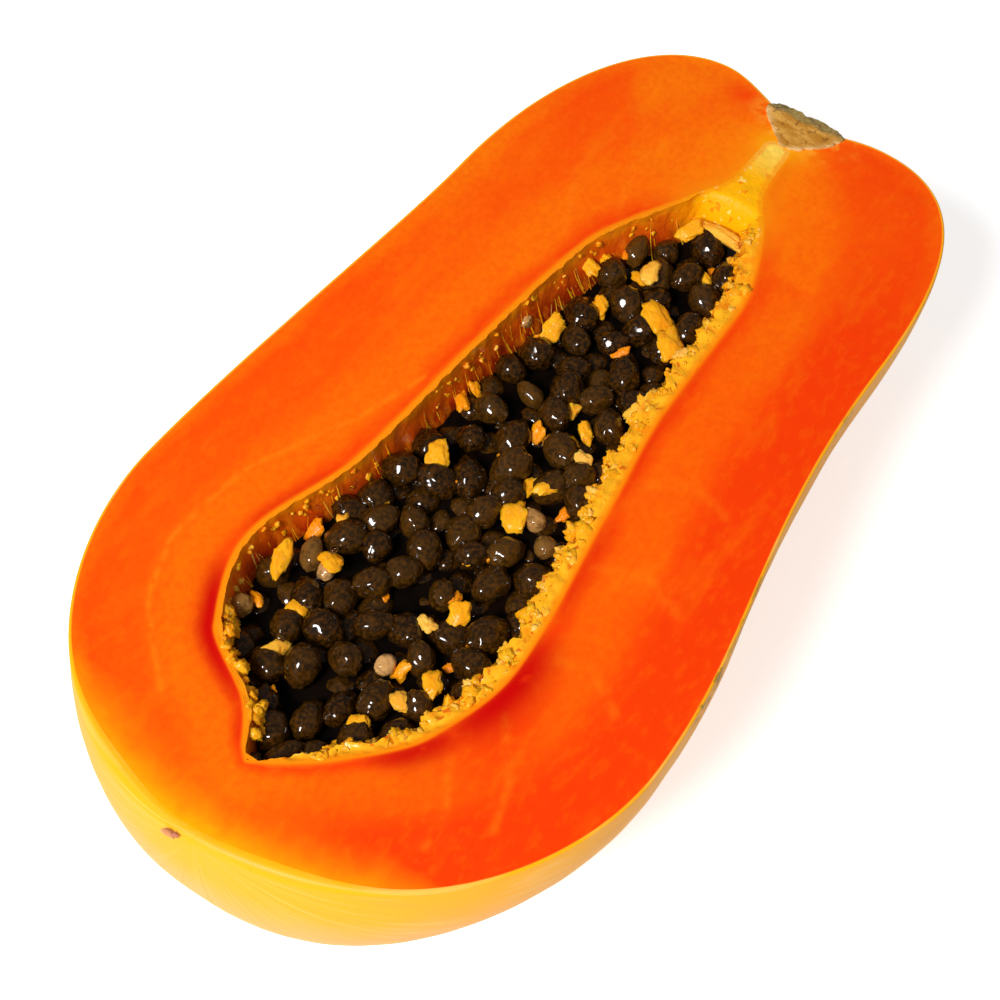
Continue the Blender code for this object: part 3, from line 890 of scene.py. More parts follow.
def blushing(points, to_hollow):
    """How strongly each point of the cut blushes beside the hollow."""
    total = np.zeros(len(points))
    for x, half_long, side, reach, strength in BLUSHES:
        along = np.exp(-((points[:, 0] - x) / half_long) ** 4)
        across = np.exp(-((to_hollow - 0.5 - 0.3 * reach) / reach) ** 2)
        total = np.maximum(total, strength * along * across * (points[:, 1] * side > 0))
    return total * np.clip((to_hollow - 0.2) / 0.5, 0, 1)


def strand_mask(points):
    """Where the pale strands run through the cut flesh."""
    total = np.zeros(len(points))
    for corners, half_width, strength in STRANDS:
        corner = np.array(corners)
        t = np.linspace(0, len(corner) - 1, 160)
        line = np.stack([np.interp(t, range(len(corner)), corner[:, k]) for k in (0, 1)], -1)
        for _ in range(30):
            line[1:-1] = 0.5 * line[1:-1] + 0.25 * (line[:-2] + line[2:])
        gap = distance_to(points, line)
        total = np.maximum(total, strength * np.exp(-(gap / half_width) ** 2))
    return total


def rounding():
    """Radius of the cut edge round the fruit: broad at the blossom end, save at the scar."""
    plain, broad = millimetres("edge"), millimetres("tip_edge")
    nose = np.exp(-((OUTLINE[:, 1] - SCAR[1]) / 13.0) ** 2) * (OUTLINE[:, 0] < 0)
    return plain + (broad - plain) * tipness(AROUND) * (1 - 0.35 * nose)


def nosed(points):
    """Points of the rim drawn out a little towards the blossom scar."""
    gap = np.hypot(points[:, 1] - SCAR[1], points[:, 2] - SCAR[2])
    moved = points.copy()
    moved[:, 0] -= NOSE * np.exp(-(gap / 12.0) ** 2) * (points[:, 0] < -80.0)
    return moved


def flesh_rows():
    """Rows of the half fruit from the middle of its underside, over the cut, to the hollow's floor."""
    edge = rounding()
    top = skin_angle(AROUND, -edge)
    tangent = np.roll(OUTLINE, -1, 0) - np.roll(OUTLINE, 1, 0)
    outward = np.stack([tangent[:, 1], -tangent[:, 0], np.zeros(COLUMNS)], -1)
    outward /= np.linalg.norm(outward, axis=1, keepdims=True)
    rows = []
    for s in np.linspace(0.0, 1.0, SKIN_ROWS):
        eased = 1 - (1 - s) ** 1.35
        row = skin_points(AROUND, LAST_ROW + (top - LAST_ROW) * eased)
        row[:, 2] = np.maximum(row[:, 2], -CUT_HEIGHT)
        rows.append(nosed(row))
    below = rows[-1]
    lip = nosed(OUTLINE - outward * edge[:, None])
    crest = nosed(OUTLINE)
    for t in np.linspace(0.0, 1.0, EDGE_ROWS + 1)[1:]:
        rows.append((1 - t) ** 2 * below + 2 * t * (1 - t) * crest + t * t * lip)
    inner = hollow_edge(AROUND)
    for s in np.linspace(0.0, 1.0, CUT_ROWS + 1)[1:]:
        eased = 0.5 * s + 0.5 * (0.5 - 0.5 * math.cos(math.pi * s))
        rows.append(lip + (inner - lip) * eased)
    right, left, depth = hollow_at(inner[:, 0])
    middle = 0.5 * (right + left)
    for s in np.linspace(0.0, 1.0, WALL_ROWS + 1)[1:]:
        turn = math.radians(86.0) * s
        rows.append(np.stack([inner[:, 0], middle + (inner[:, 1] - middle) * math.cos(turn),
                              -depth * math.sin(turn)], -1))
    return rows


def cut_marks(points, on_cut, cut_to, to_skin, to_hollow):
    """Bands, edges and stains of the cut face, as values that the flesh's material reads."""
    face = points[on_cut]
    layer = np.ones(len(points))
    layer[on_cut] = to_hollow / (to_hollow + to_skin + 1e-6)
    layer[cut_to:] = 0.0
    peel = np.ones(len(points))
    peel[on_cut] = np.clip(1 - to_skin / (2 * millimetres("peel")), 0, 1)
    peel[cut_to:] = 0.0
    yellowing, glow, blush, stemring = (np.zeros(len(points)) for _ in range(4))
    ragged = to_skin + 1.4 * uneven(face, 3.0, 12.0) + 0.7 * uneven(face, 1.2, 13.0)
    by_rim = climb(face[:, 0], -84.0, -17.0) ** 0.7 * np.exp(-(np.maximum(ragged, 0) / 6.4) ** 1.6)
    yellowing[on_cut] = np.maximum(by_rim, 0.75 * spot(face, *YELLOW_BY_PLUG))
    by_edge = 0.95 * np.exp(-(to_hollow / 0.5) ** 2)
    by_wedge = climb(face[:, 0], 60.0, 12.0) * np.exp(-(to_hollow / 3.4) ** 1.5)
    glow[on_cut] = np.maximum(by_edge, by_wedge)
    blush[on_cut] = blushing(face, to_hollow)
    glow *= 1 - 0.85 * blush
    plug = np.array([(x, PLUG_Y + side * radius) for side in (-1, 1) for x, radius in PLUG_PROFILE])
    stemring[on_cut] = np.exp(-(distance_to(face, plug) / 3.2) ** 1.5)
    return {"layer": layer, "peel": peel, "yellowing": yellowing, "glow": glow, "blush": blush,
            "stemring": stemring}


def ruddiness_and_shade(points, layer):
    """How deep an orange the flesh is: most on its right side, where the deepening is painted shade; the
    belly and stem spots are ruddy patches of the flesh.
    """
    # the right side deepened in colour: painted shade
    right_side = np.clip(-points[:, 1] / 22.0, 0, 1) * np.clip((layer - 0.36) * 4, 0, 1)
    right_side *= 1 - 0.6 * climb(points[:, 0], 55.0, 30.0)
    inner_right = 0.32 * np.clip(-points[:, 1] / 18.0, 0, 1) * (points[:, 0] < 60.0)
    return np.maximum.reduce([right_side, inner_right, 0.9 * spot(points, *RUDDY_BELLY),
                              0.8 * spot(points, *RUDDY_BY_STEM)])


def paleness(points, layer):
    """How pale the flesh is: most towards the stem and on the left shoulder."""
    shoulder = 0.95 * np.clip(points[:, 1] / 18.0, 0, 1) * climb(points[:, 0], 10.0, 50.0)
    band = climb(points[:, 0], 20.0, 45.0) * np.exp(-((layer - 0.35) / 0.28) ** 2)
    return np.maximum(np.maximum(shoulder, spot(points, *PALE_BY_PLUG)), band)


def raise_relief(points, depth, on_cut, to_skin, to_hollow):
    """Move the points by a shallow swell and finer tissue on the cut, and by bumps on the skin."""
    face = points[on_cut]
    swell = 0.16 * uneven(face, 26.0, 1.0) + 0.07 * uneven(face, 5.0, 2.0) + 0.035 * uneven(face, 1.6, 3.0)
    fade = np.clip(to_skin / 2.0, 0, 1) * np.clip(to_hollow / 1.5, 0, 1)
    points[on_cut, 2] += (swell - 0.10) * fade
    # the flat spot stays flat
    skin = slice(0, SKIN_ROWS * COLUMNS)
    away = points[skin] - np.array([0.0, 0.0, AXIS_RISE])
    away /= np.linalg.norm(away, axis=1, keepdims=True)
    loose = np.clip((points[skin, 2] + CUT_HEIGHT) / 6.0, 0, 1) * np.clip(depth[skin] / 3.0, 0, 1)
    bumps = 0.35 * uneven(points[skin], 22.0, 4.0) + 0.10 * uneven(points[skin], 6.0, 5.0)
    points[skin] += away * (bumps * loose)[:, None]


def scuffing(points, depth, on_cut):
    """How scuffed the skin is at each point."""
    scuff = np.zeros(len(points))
    for x, side, half_long, low, strength in SCUFFS:
        near = np.exp(-((points[:, 0] - x) / half_long) ** 2 - ((depth - low) / 2.6) ** 2)
        scuff = np.maximum(scuff, strength * near * (points[:, 1] * side > 0) * ~on_cut)
    return scuff


def build_flesh():
    """The half fruit: skin, rounded cut edge, cut face and the hollow's wall."""
    rows = flesh_rows()
    points = np.vstack(rows)
    skin_faces = (SKIN_ROWS + EDGE_ROWS - 1) * COLUMNS
    cut_to = skin_faces + (CUT_ROWS + 1) * COLUMNS
    on_cut = np.zeros(len(points), bool)
    on_cut[skin_faces:cut_to] = True
    to_skin = distance_to(points[on_cut], OUTLINE)
    to_hollow = distance_to(points[on_cut], hollow_edge(AROUND))
    depth = np.maximum(0.0, -points[:, 2])
    attributes = cut_marks(points, on_cut, cut_to, to_skin, to_hollow)
    attributes["depth"] = depth
    # deeper orange on the right side: painted shade
    attributes["ruddy_and_shade"] = ruddiness_and_shade(points, attributes["layer"])
    raise_relief(points, depth, on_cut, to_skin, to_hollow)
    attributes["strand"] = strand_mask(points) * on_cut
    attributes["stemward"] = paleness(points, attributes["layer"])
    attributes["scuff"] = scuffing(points, depth, on_cut)
    # right side of the skin, where its colour is painted shade
    attributes["shaded_right"] = np.clip(-points[:, 1] / 30.0, 0, 1) * climb(points[:, 0], -75.0, 45.0)
    attributes["meridian"] = np.arctan2(points[:, 2], points[:, 1]) * 24.0
    attributes["along"] = points[:, 0] / 16.0
    faces = grid_quads(len(rows), COLUMNS)
    slots = np.zeros(len(faces), np.int32)
    slots[:skin_faces] = 1
    ends = zip_faces(0, COLUMNS) + zip_faces((len(rows) - 1) * COLUMNS, COLUMNS)
    slots = np.concatenate([slots, np.ones(len(ends) // 2, np.int32), np.zeros(len(ends) // 2, np.int32)])
    return make_piece("papaya_flesh_and_skin", points, faces + ends, [flesh_material(), skin_material()],
                      ["flesh"], attributes, slots, CREASE)


def opening(x):
    """How open the seeds' space is at x: 1 along the fruit, 0 beyond its ends."""
    start = np.clip((x - SEED_START) / START_ROUND, 0, 1)
    end = np.clip((SEED_END - x) / END_SLOPE, 0, 1)
    return np.sqrt(1 - (1 - start) ** 2) * end * end * (3 - 2 * end)


def lining(x):
    """Inner right edge, inner left edge and depth of the seeds' space at x."""
    right, left, depth = (float(v) for v in hollow_at(x))
    inside = float(opening(x))
    crumb = 1.5 * noise.noise(Vector((x / 3.2, 0.0, 4.0))) + 0.9 * noise.noise(Vector((x / 1.3, 3.0, 0.0)))
    swell = 0.9 * noise.noise(Vector((x / 11.0, 5.0, 2.0)))
    from_tip = min(1.0, max(0.0, (x + 83.5) / 9.0))
    wobble = noise.noise(Vector((x / 2.6, 9.0, 1.0)))
    thick_right = (millimetres("lining_right") + crumb * 1.3 + swell) * (0.12 + 0.88 * from_tip)
    thick_left = millimetres("lining_left") * (0.3 + 0.7 * from_tip) + 0.9 * near_tip(x)
    thick_left += (0.35 + 0.8 * near_tip(x)) * wobble
    shelf = max(inside, LEAST_SHELF)
    return right + thick_right * shelf, left - thick_left * shelf, max(0.0, (depth - 2.6) * inside)


def build_pulp():
    """The lining of the hollow, with its crumbly right side and the wedge to the stem."""
    even = np.linspace(0.0, 1.0, PULP_STATIONS)
    eased = 0.4 * even + 0.6 * (0.5 - 0.5 * np.cos(math.pi * even))
    stations = PULP_FROM + (PULP_TO - PULP_FROM) * eased
    outer_count, strip_count, arc_count = 10, 12, 52
    total = strip_count * 2 + arc_count + outer_count
    rings, thick, wedge, stemward = [], [], [], []
    for x in stations:
        right, left, depth = (float(v) for v in hollow_at(x))
        inner_right, inner_left, inner_depth = lining(x)
        middle, half = 0.5 * (inner_right + inner_left), 0.5 * (inner_left - inner_right)
        ring = []
        for k in range(strip_count):
            ring.append((x, right + (inner_right - right) * k / strip_count, 0.0))
        for k in range(arc_count + 1):
            turn = math.pi * k / arc_count
            flat = inner_right + (inner_left - inner_right) * k / arc_count
            curved = middle - half * math.cos(turn)
            share = min(1.0, inner_depth / 4.0)
            ring.append((x, flat + (curved - flat) * share, -inner_depth * math.sin(turn)))
        for k in range(1, strip_count + 1):
            ring.append((x, inner_left + (left - inner_left) * k / strip_count, 0.0))
        centre, radius = 0.5 * (right + left), 0.5 * (left - right)
        for k in range(1, outer_count):
            turn = math.pi * k / outer_count
            ring.append((x, centre + radius * math.cos(turn), -depth * math.sin(turn)))
        rings.append(ring)
        rightness = climb(np.arange(total), strip_count + 13, -8.0) * (1 - 0.9 * climb(x, 60.0, 10.0))
        tip_yellow = np.zeros(total)
        tip_yellow[strip_count + arc_count - 8:strip_count * 2 + arc_count + 1] = near_tip(x)
        thick.append(np.maximum(rightness, tip_yellow))
        wedge.append(np.full(total, climb(x, 62.0, 8.0)))
        stemward.append(np.full(total, climb(x, 80.0, 9.0)))
    points = np.array(rings, float)
    count = points.shape[1]
    flat = points.reshape(-1, 3)
    surface = np.zeros(count, bool)
    surface[:strip_count * 2 + arc_count + 1] = True
    visible = np.tile(surface, PULP_STATIONS)
    thickness = np.concatenate(thick)
    brim = np.full(len(flat), 9.0)
    brim[visible] = distance_to(flat[visible], hollow_edge(AROUND)) + np.maximum(0.0, -flat[visible, 2])
    crumbs = uneven(flat[visible], 2.4, 6.0)
    fine = uneven(flat[visible], 1.0, 7.0)
    strength = 0.16 + 0.62 * thickness[visible]
    rim_fade = np.clip(brim[visible] / 1.4, 0, 1)
    flat[visible, 2] += (crumbs * strength + fine * 0.45 * strength - 0.35 * thickness[visible]) * rim_fade
    flat[visible, 1] += 0.35 * fine * rim_fade
    attributes = {"depth": np.maximum(0.0, -flat[:, 2]), "thick": thickness, "wedge": np.concatenate(wedge),
                  "stemward": np.concatenate(stemward), "brim": brim}
    return make_piece("pulp_lining", flat, tube_faces(PULP_STATIONS, count),
                      [pulp_material("papaya_pulp", False)], ["pulp"], attributes, crease=CREASE)


def shred_shape(base, rng, size, bend=0.0, ragged=0.34):
    """One torn shred of pulp: a flattened, ragged, slightly bent chunk."""
    offset = Vector(rng.uniform(-50, 50, 3))
    lumps = np.array([noise.noise(Vector(p) * 1.3 + offset) + 0.6 * noise.noise(Vector(p) * 3.3 + offset)
                      + 0.42 * noise.noise(Vector(p) * 5.5 + offset) for p in base])
    turn = np.arctan2(base[:, 1], base[:, 0])
    torn = np.array([noise.noise(Vector((1.3 * math.cos(a), 1.3 * math.sin(a), 0.0)) - offset) for a in turn])
    shape = base * (1 + ragged * lumps)[:, None]
    shape = np.sign(shape) * np.abs(shape) ** 0.9
    shape[:, :2] *= (1 + 0.42 * torn)[:, None]
    shape = shape * np.array(size) * 0.5
    shape[:, 2] += bend * (shape[:, 0] / size[0]) ** 2
    return shape


def turned(shape, tilt, turn, roll=0.0):
    """A shape rolled, tilted and turned about its middle."""
    matrix = np.array(Euler((roll, tilt, turn)).to_matrix())
    return shape @ matrix.T


def build_shreds():
    """Shreds of pulp among the seeds: those listed one by one, and smaller scattered ones."""
    rng = np.random.default_rng(11)
    base, faces = ball(20, 30)
    shapes, tones = [], []
    for x, y, long, wide, thick, turn, rise in SHREDS:
        shape = shred_shape(base, rng, (long, wide, thick), rng.uniform(-1.5, 1.5))
        shape = turned(shape, rng.uniform(-0.25, 0.25), math.radians(turn), rng.uniform(-0.3, 0.3))
        shapes.append(shape + np.array([x, y, float(heap_level(x, y)) + rise + 0.5]))
        tones.append(rng.uniform(0.45, 0.85))
    for _ in range(SMALL_SHREDS):
        x = rng.uniform(-78.0, 66.0)
        right, left, _depth = hollow_at(x)
        y = rng.uniform(right + 4.0, left - 3.0)
        size = rng.uniform(0.6, 1.0) * np.array([5.0, 2.8, 1.6])
        shape = turned(shred_shape(base, rng, size), rng.normal(0, 0.5), rng.uniform(0, 6.3), 0.0)
        shapes.append(shape + np.array([x, y, float(heap_level(x, y)) - rng.uniform(0.8, 2.8)]))
        tones.append(rng.uniform(0.0, 0.55))
    points, joined, spread = join_copies(shapes, faces, tones)
    return make_piece("pulp_shreds", points, joined, [pulp_material("papaya_pulp_loose", True)],
                      attributes={"tone": spread})


def build_crumbs():
    """Crumbs of pulp along the right rim, at the blossom end and down the left wall."""
    rng = np.random.default_rng(5)
    base, faces = ball(9, 13)
    shapes, tones = [], []

    def drop(x, y, z, size, tone):
        sizes = size * rng.uniform(0.5, 1.6, 3)
        shape = turned(shred_shape(base, rng, sizes, ragged=0.62), rng.uniform(-1, 1), rng.uniform(0, 6.3),
                       rng.uniform(-1, 1))
        shapes.append(shape + np.array([x, y, z]))
        tones.append(tone)

    for _ in range(RIM_CRUMBS):
        x = rng.uniform(-78.0, 68.0)
        clump = noise.noise(Vector((x / 5.0, 7.0, 0.0)))
        if rng.uniform(-0.5, 0.5) > clump:
            continue
        right, _left, _depth = hollow_at(x)
        inner = lining(x)[0]
        share = rng.beta(2.2, 1.5)
        y = right + 0.6 + (inner - right) * share * 1.25
        level = float(heap_level(x, y))
        z = -0.25 - max(0.0, share - 0.55) * rng.uniform(0.2, 1.1) * -level * 1.6
        drop(x, y, z - 0.85, 0.8 + 2.0 * rng.beta(1.1, 3.2), rng.uniform(0.3, 0.85))
    for _ in range(TIP_CRUMBS):
        x = rng.uniform(-79.0, -62.0)
        _right, left, _depth = hollow_at(x)
        drop(x, left - rng.uniform(0.8, 3.4), -rng.uniform(0.6, 5.0), rng.uniform(1.0, 2.4),
             rng.uniform(0.2, 0.7))
    for _ in range(WALL_CRUMBS):
        x = rng.uniform(-60.0, 66.0)
        inner = lining(x)[1]
        z = -rng.uniform(1.0, 6.0)
        drop(x, inner + 0.06 * z, z, rng.uniform(0.4, 1.4), rng.uniform(0.1, 0.8))
    points, joined, spread = join_copies(shapes, faces, tones)
    return make_piece("pulp_crumbs", points, joined, [pulp_material("papaya_pulp_crumb", True)],
                      attributes={"tone": spread})


def build_fibres():
    """Thin strings of pulp that run down the left wall, in under the seeds."""
    rng = np.random.default_rng(17)
    sides, steps = 6, 9
    shapes, tones = [], []
    for _ in range(FIBRES):
        x = rng.uniform(-79.0, 68.0)
        inner_right, inner_left, inner_depth = lining(x)
        middle, half = 0.5 * (inner_right + inner_left), 0.5 * (inner_left - inner_right)
        if half < 3.0:
            continue
        start, end = rng.uniform(0.02, 0.16), rng.uniform(0.20, 0.50)
        drift, wave = rng.normal(0, 3.4), rng.uniform(0, 6.3)
        radius = rng.uniform(0.06, 0.20)
        rings = []
        for t in np.linspace(0.0, 1.0, steps):
            turn = math.pi * (1 - (start + (end - start) * t))
            along = x + drift * t + 0.35 * math.sin(wave + 5 * t)
            centre = np.array([along, middle - half * math.cos(turn), -inner_depth * math.sin(turn)])
            thin = radius * (0.15 + 0.85 * math.sin(math.pi * (0.08 + 0.84 * t))) * rng.uniform(0.8, 1.2)
            for side in range(sides):
                a = 2 * math.pi * side / sides
                across = np.array([1.4 * math.cos(a), math.sin(a) * 0.8, math.sin(a) * 0.6])
                rings.append(centre + thin * across)
        shapes.append(np.array(rings))
        tones.append(rng.uniform(0.1, 0.9))
    points, joined, spread = join_copies(shapes, tube_faces(steps, sides), tones)
    return make_piece("pulp_fibres", points, joined, [pulp_material("papaya_pulp_fibre", True)],
                      attributes={"tone": spread})


def build_core():
    """The heart of the heap, a little below the seeds, painted near-black as shade between them."""
    stations = np.linspace(CORE_FROM, CORE_TO, CORE_STATIONS)
    rings = []
    for x in stations:
        right, left, depth = lining(x)
        right += 0.3
        left -= 0.3
        depth = max(0.6, depth - 0.3)
        middle, half = 0.5 * (right + left), 0.5 * (left - right)
        ring = []
        for k in range(CORE_STRIPS + 1):
            y = left - (left - right) * k / CORE_STRIPS
            level = float(heap_level(x, y))
            ring.append((x, y, max(level - 3.4, -0.75 * depth)))
        for k in range(1, CORE_TURNS):
            turn = math.pi * k / CORE_TURNS
            low = min(ring[0][2], -depth * math.sin(turn)) - 0.2
            ring.append((x, middle - half * 0.97 * math.cos(turn), low))
        rings.append(ring)
    points = np.array(rings)
    top = points[:, :CORE_STRIPS + 1]
    top[..., 2] += 0.6 * uneven(top, 4.5, 8.0)
    return make_piece("seed_heap_core", points.reshape(-1, 3), tube_faces(*points.shape[:2]),
                      [painted_shade_core_material()], ["seeds"])


def seed_places():
    """Middles of the seeds, how many stand out, where the lower layer starts, and the random source."""
    rng = np.random.default_rng(23)
    spacing = millimetres("seed_spacing")
    odd = np.array(ODD_SEEDS)
    fixed = len(odd)
    tip = np.array(TIP_SEEDS)
    places = [(x, y, float(heap_level(x, y)) - 0.7) for x, y in odd[:, :2]]
    places += [(x, y, float(heap_level(x, y)) + rise) for x, y, rise in tip[:, [0, 1, 4]]]

    def scatter(tries, gap, sink, spread, others):
        found = []
        for _ in range(tries):
            x = rng.uniform(SEEDS_FROM, SEEDS_TO)
            right, left, depth = (float(v) for v in hollow_at(x))
            low, high = right + 5.6, left - 4.6
            if high < low or depth < 9.0:
                low = high = 0.5 * (right + left)
            y = rng.uniform(low, high)
            near = [(x - a) ** 2 + (y - b) ** 2 for a, b, _c in others + found]
            if near and min(near) < gap * gap:
                continue
            found.append((x, y, float(heap_level(x, y)) - sink + rng.uniform(-spread, spread)))
        return found

    top = scatter(TOP_TRIES, spacing, 1.6, 1.3, places)
    under = scatter(UNDER_TRIES, spacing * 0.92, 5.6, 0.7, [])
    first_under = len(places) + len(top)
    middle = np.array(places + top + under)
    level = middle[:, 2].copy()
    reach = np.full(len(middle), SEED_REACH)
    reach[:fixed] = odd[:, 3] * 1.15
    held = fixed + len(tip)
    for _ in range(SETTLING_ROUNDS):
        gap = middle[:, None] - middle[None]
        apart = np.linalg.norm(gap, axis=-1) + np.eye(len(middle)) * 99
        wanted = 0.5 * (reach[:, None] + reach[None])
        push = np.clip(wanted - apart, 0, None) / apart
        move = 0.3 * (gap * push[..., None]).sum(1)
        move[:held] *= 0.1
        middle += move
        middle[:, 2] += 0.2 * (level - middle[:, 2])
        right, left, _depth = hollow_at(middle[:, 0])
        room = np.maximum(left - right, 8.0)
        middle[held:, 1] = np.clip(middle[held:, 1], (right + np.minimum(5.8, room * 0.46))[held:],
                                   (left - np.minimum(4.4, room * 0.4))[held:])
        middle[held:, 0] = np.clip(middle[held:, 0], -78.0, 68.6)
    return middle, fixed, first_under, rng


def seed_prototypes(rings, segments, count, seed):
    """Egg-shaped seeds of unit length with shallow wrinkles."""
    base, faces = ball(rings, segments)
    base = base[:, [2, 0, 1]]
    shapes = []
    for k in range(count):
        offset = Vector((seed * 3.1 + k * 7.7, k * 2.3, seed))
        ridges = []
        for p in base:
            long = Vector((p[0] * 1.1, p[1] * 2.6, p[2] * 2.6))
            fine = Vector((p[0] * 3.5, p[1] * 8.0, p[2] * 8.0))
            ridges.append(noise.noise(long + offset) + 0.5 * noise.noise(long * 2.3 + offset)
                          + 0.35 * noise.noise(fine + offset))
        swell = 1 + 0.115 * np.array(ridges)
        shape = base * swell[:, None]
        taper = 1 - (0.10 + 0.03 * (k % 4)) * shape[:, 0]
        shape[:, 1] *= taper
        shape[:, 2] *= taper
        shapes.append(shape * 0.5)
    return shapes, faces


def build_seeds():
    """The dark seeds in two layers, and the odd ones that are olive or pale."""
    middle, fixed, first_under, rng = seed_places()
    long, wide = millimetres("seed_length"), millimetres("seed_width")
    fine_shapes, fine_faces = seed_prototypes(24, 32, 10, 1.0)
    plain_shapes, plain_faces = seed_prototypes(12, 16, 6, 2.0)
    groups = {"odd": [], "top": [], "under": []}
    tones = {"odd": [], "top": [], "under": []}
    for k, place_at in enumerate(middle):
        kind = "odd" if k < fixed else ("top" if k < first_under else "under")
        shapes = plain_shapes if kind == "under" else fine_shapes
        shape = shapes[int(rng.integers(len(shapes)))]
        size = np.array([long, wide, wide * 0.96]) * rng.uniform(0.86, 1.12) * rng.uniform(0.94, 1.06, 3)
        turn = rng.uniform(0, 2 * math.pi)
        tilt = rng.normal(0, 0.35)
        tone = rng.beta(1.2, 3.0) * 0.42
        if kind == "odd":
            _x, _y, odd_long, odd_wide, odd_turn, tone = ODD_SEEDS[k]
            size = np.array([odd_long, odd_wide, odd_wide])
            turn = math.radians(odd_turn)
        elif k < fixed + len(TIP_SEEDS):
            _x, _y, tip_long, tip_wide, _rise, tip_turn, tip_tilt = TIP_SEEDS[k - fixed]
            size = np.array([tip_long, tip_wide, tip_wide])
            turn, tilt = math.radians(tip_turn), math.radians(tip_tilt)
        groups[kind].append(turned(shape * size, tilt, turn, rng.uniform(0, 6.3)) + place_at)
        tones[kind].append(tone)
    dark = seed_material("papaya_seed", 0.85)
    odd = seed_material("papaya_seed_unripe", 0.22)
    for kind, name, faces, material in (("top", "seeds_dark", fine_faces, dark),
                                        ("under", "seeds_below", plain_faces, dark),
                                        ("odd", "seeds_odd", fine_faces, odd)):
        points, joined, spread = join_copies(groups[kind], faces, tones[kind])
        make_piece(name, points, joined, [material], attributes={"tone": spread})


def build_juice():
    """A few beads of juice among the seeds and shreds."""
    rng = np.random.default_rng(3)
    base, faces = ball(10, 14)
    shapes = []
    for x, y, size, rise in JUICE:
        shape = base * np.array([size, size, size * 0.8]) * 0.5 * rng.uniform(0.9, 1.1)
        shapes.append(shape + np.array([x, y, float(heap_level(x, y)) + rise]))
    points, joined, _tone = join_copies(shapes, faces)
    material, shader, _kit = new_material("papaya_juice", 0.02)
    shader.inputs["Base Color"].default_value = (*rgb(255, 214, 150), 1.0)
    shader.inputs["Transmission Weight"].default_value = 1.0
    shader.inputs["IOR"].default_value = 1.34
    return make_piece("juice_beads", points, joined, [material])


def build_stem():
    """The half plug of cork, rough outside and fibrous on the cut."""
    profile = np.array(PLUG_PROFILE)
    run = np.concatenate([[0], np.cumsum(np.linalg.norm(np.diff(profile, axis=0), axis=1))])
    at = np.linspace(0, run[-1], STEM_STEPS)
    xs, rs = np.interp(at, run, profile[:, 0]), np.interp(at, run, profile[:, 1])
    rings = []
    for x, r in zip(xs, rs):
        ring = []
        for k in range(STEM_TURNS + 1):
            turn = math.pi * k / STEM_TURNS
            ring.append((x, PLUG_Y + r * math.cos(turn), 0.25 - (r + 0.25) * math.sin(turn)))
        for k in range(1, STEM_STRIPS):
            y = PLUG_Y - r + 2 * r * k / STEM_STRIPS
            ring.append((x, y, 0.25))
        rings.append(ring)
    points = np.array(rings)
    flat = points.reshape(-1, 3)
    rough = uneven(flat, 2.4, 9.0) + 0.5 * uneven(flat, 0.9, 10.0)
    out = flat - np.array([93.0, PLUG_Y, 0.0])
    out /= np.linalg.norm(out, axis=1, keepdims=True)
    flat += out * (0.75 * rough)[:, None] * np.array([0.8, 1.3, 0.5])
    radius = np.abs(flat[:, 1] - PLUG_Y)
    heart = np.clip((99.7 - flat[:, 0] - 0.9 * rough) / 1.1, 0, 1)
    to_rim = np.interp(flat[:, 0], profile[:, 0], profile[:, 1]) - radius + 0.5 * rough
    fringe = np.exp(-(to_rim / 1.1) ** 2) * np.clip((99.4 - flat[:, 0]) / 1.5, 0, 1)
    return make_piece("stem_plug", flat, tube_faces(*points.shape[:2]), [cork_material()], ["stem"],
                      {"heart": heart, "fringe": fringe})


def build_scar():
    """The small dry scar at the blossom end."""
    rng = np.random.default_rng(8)
    base, faces = ball(12, 18)
    shapes, tones = [], []
    for shift, size, tone in SCAR_LUMPS:
        shapes.append(shred_shape(base, rng, size) + np.array(SCAR) + np.array(shift))
        tones.append(tone)
    points, joined, spread = join_copies(shapes, faces, tones)
    material, shader, kit = new_material("papaya_scar", 0.7)
    kit.join(kit.ramp(kit.layer("tone"), [(0.3, rgb(244, 176, 96)), (0.6, rgb(196, 116, 84))]),
             shader.inputs["Base Color"])
    return make_piece("blossom_scar", points, joined, [material], attributes={"tone": spread})


def area_light(name, location, target, size, power):
    """A soft lamp that faces a point."""
    data = bpy.data.lights.new(name, "AREA")
    data.shape = "DISK"
    data.size = size
    data.energy = power
    lamp = bpy.data.objects.new(name, data)
    lamp.location = location
    lamp.rotation_euler = (Vector(target) - Vector(location)).to_track_quat("-Z", "Y").to_euler()
    bpy.context.scene.collection.objects.link(lamp)


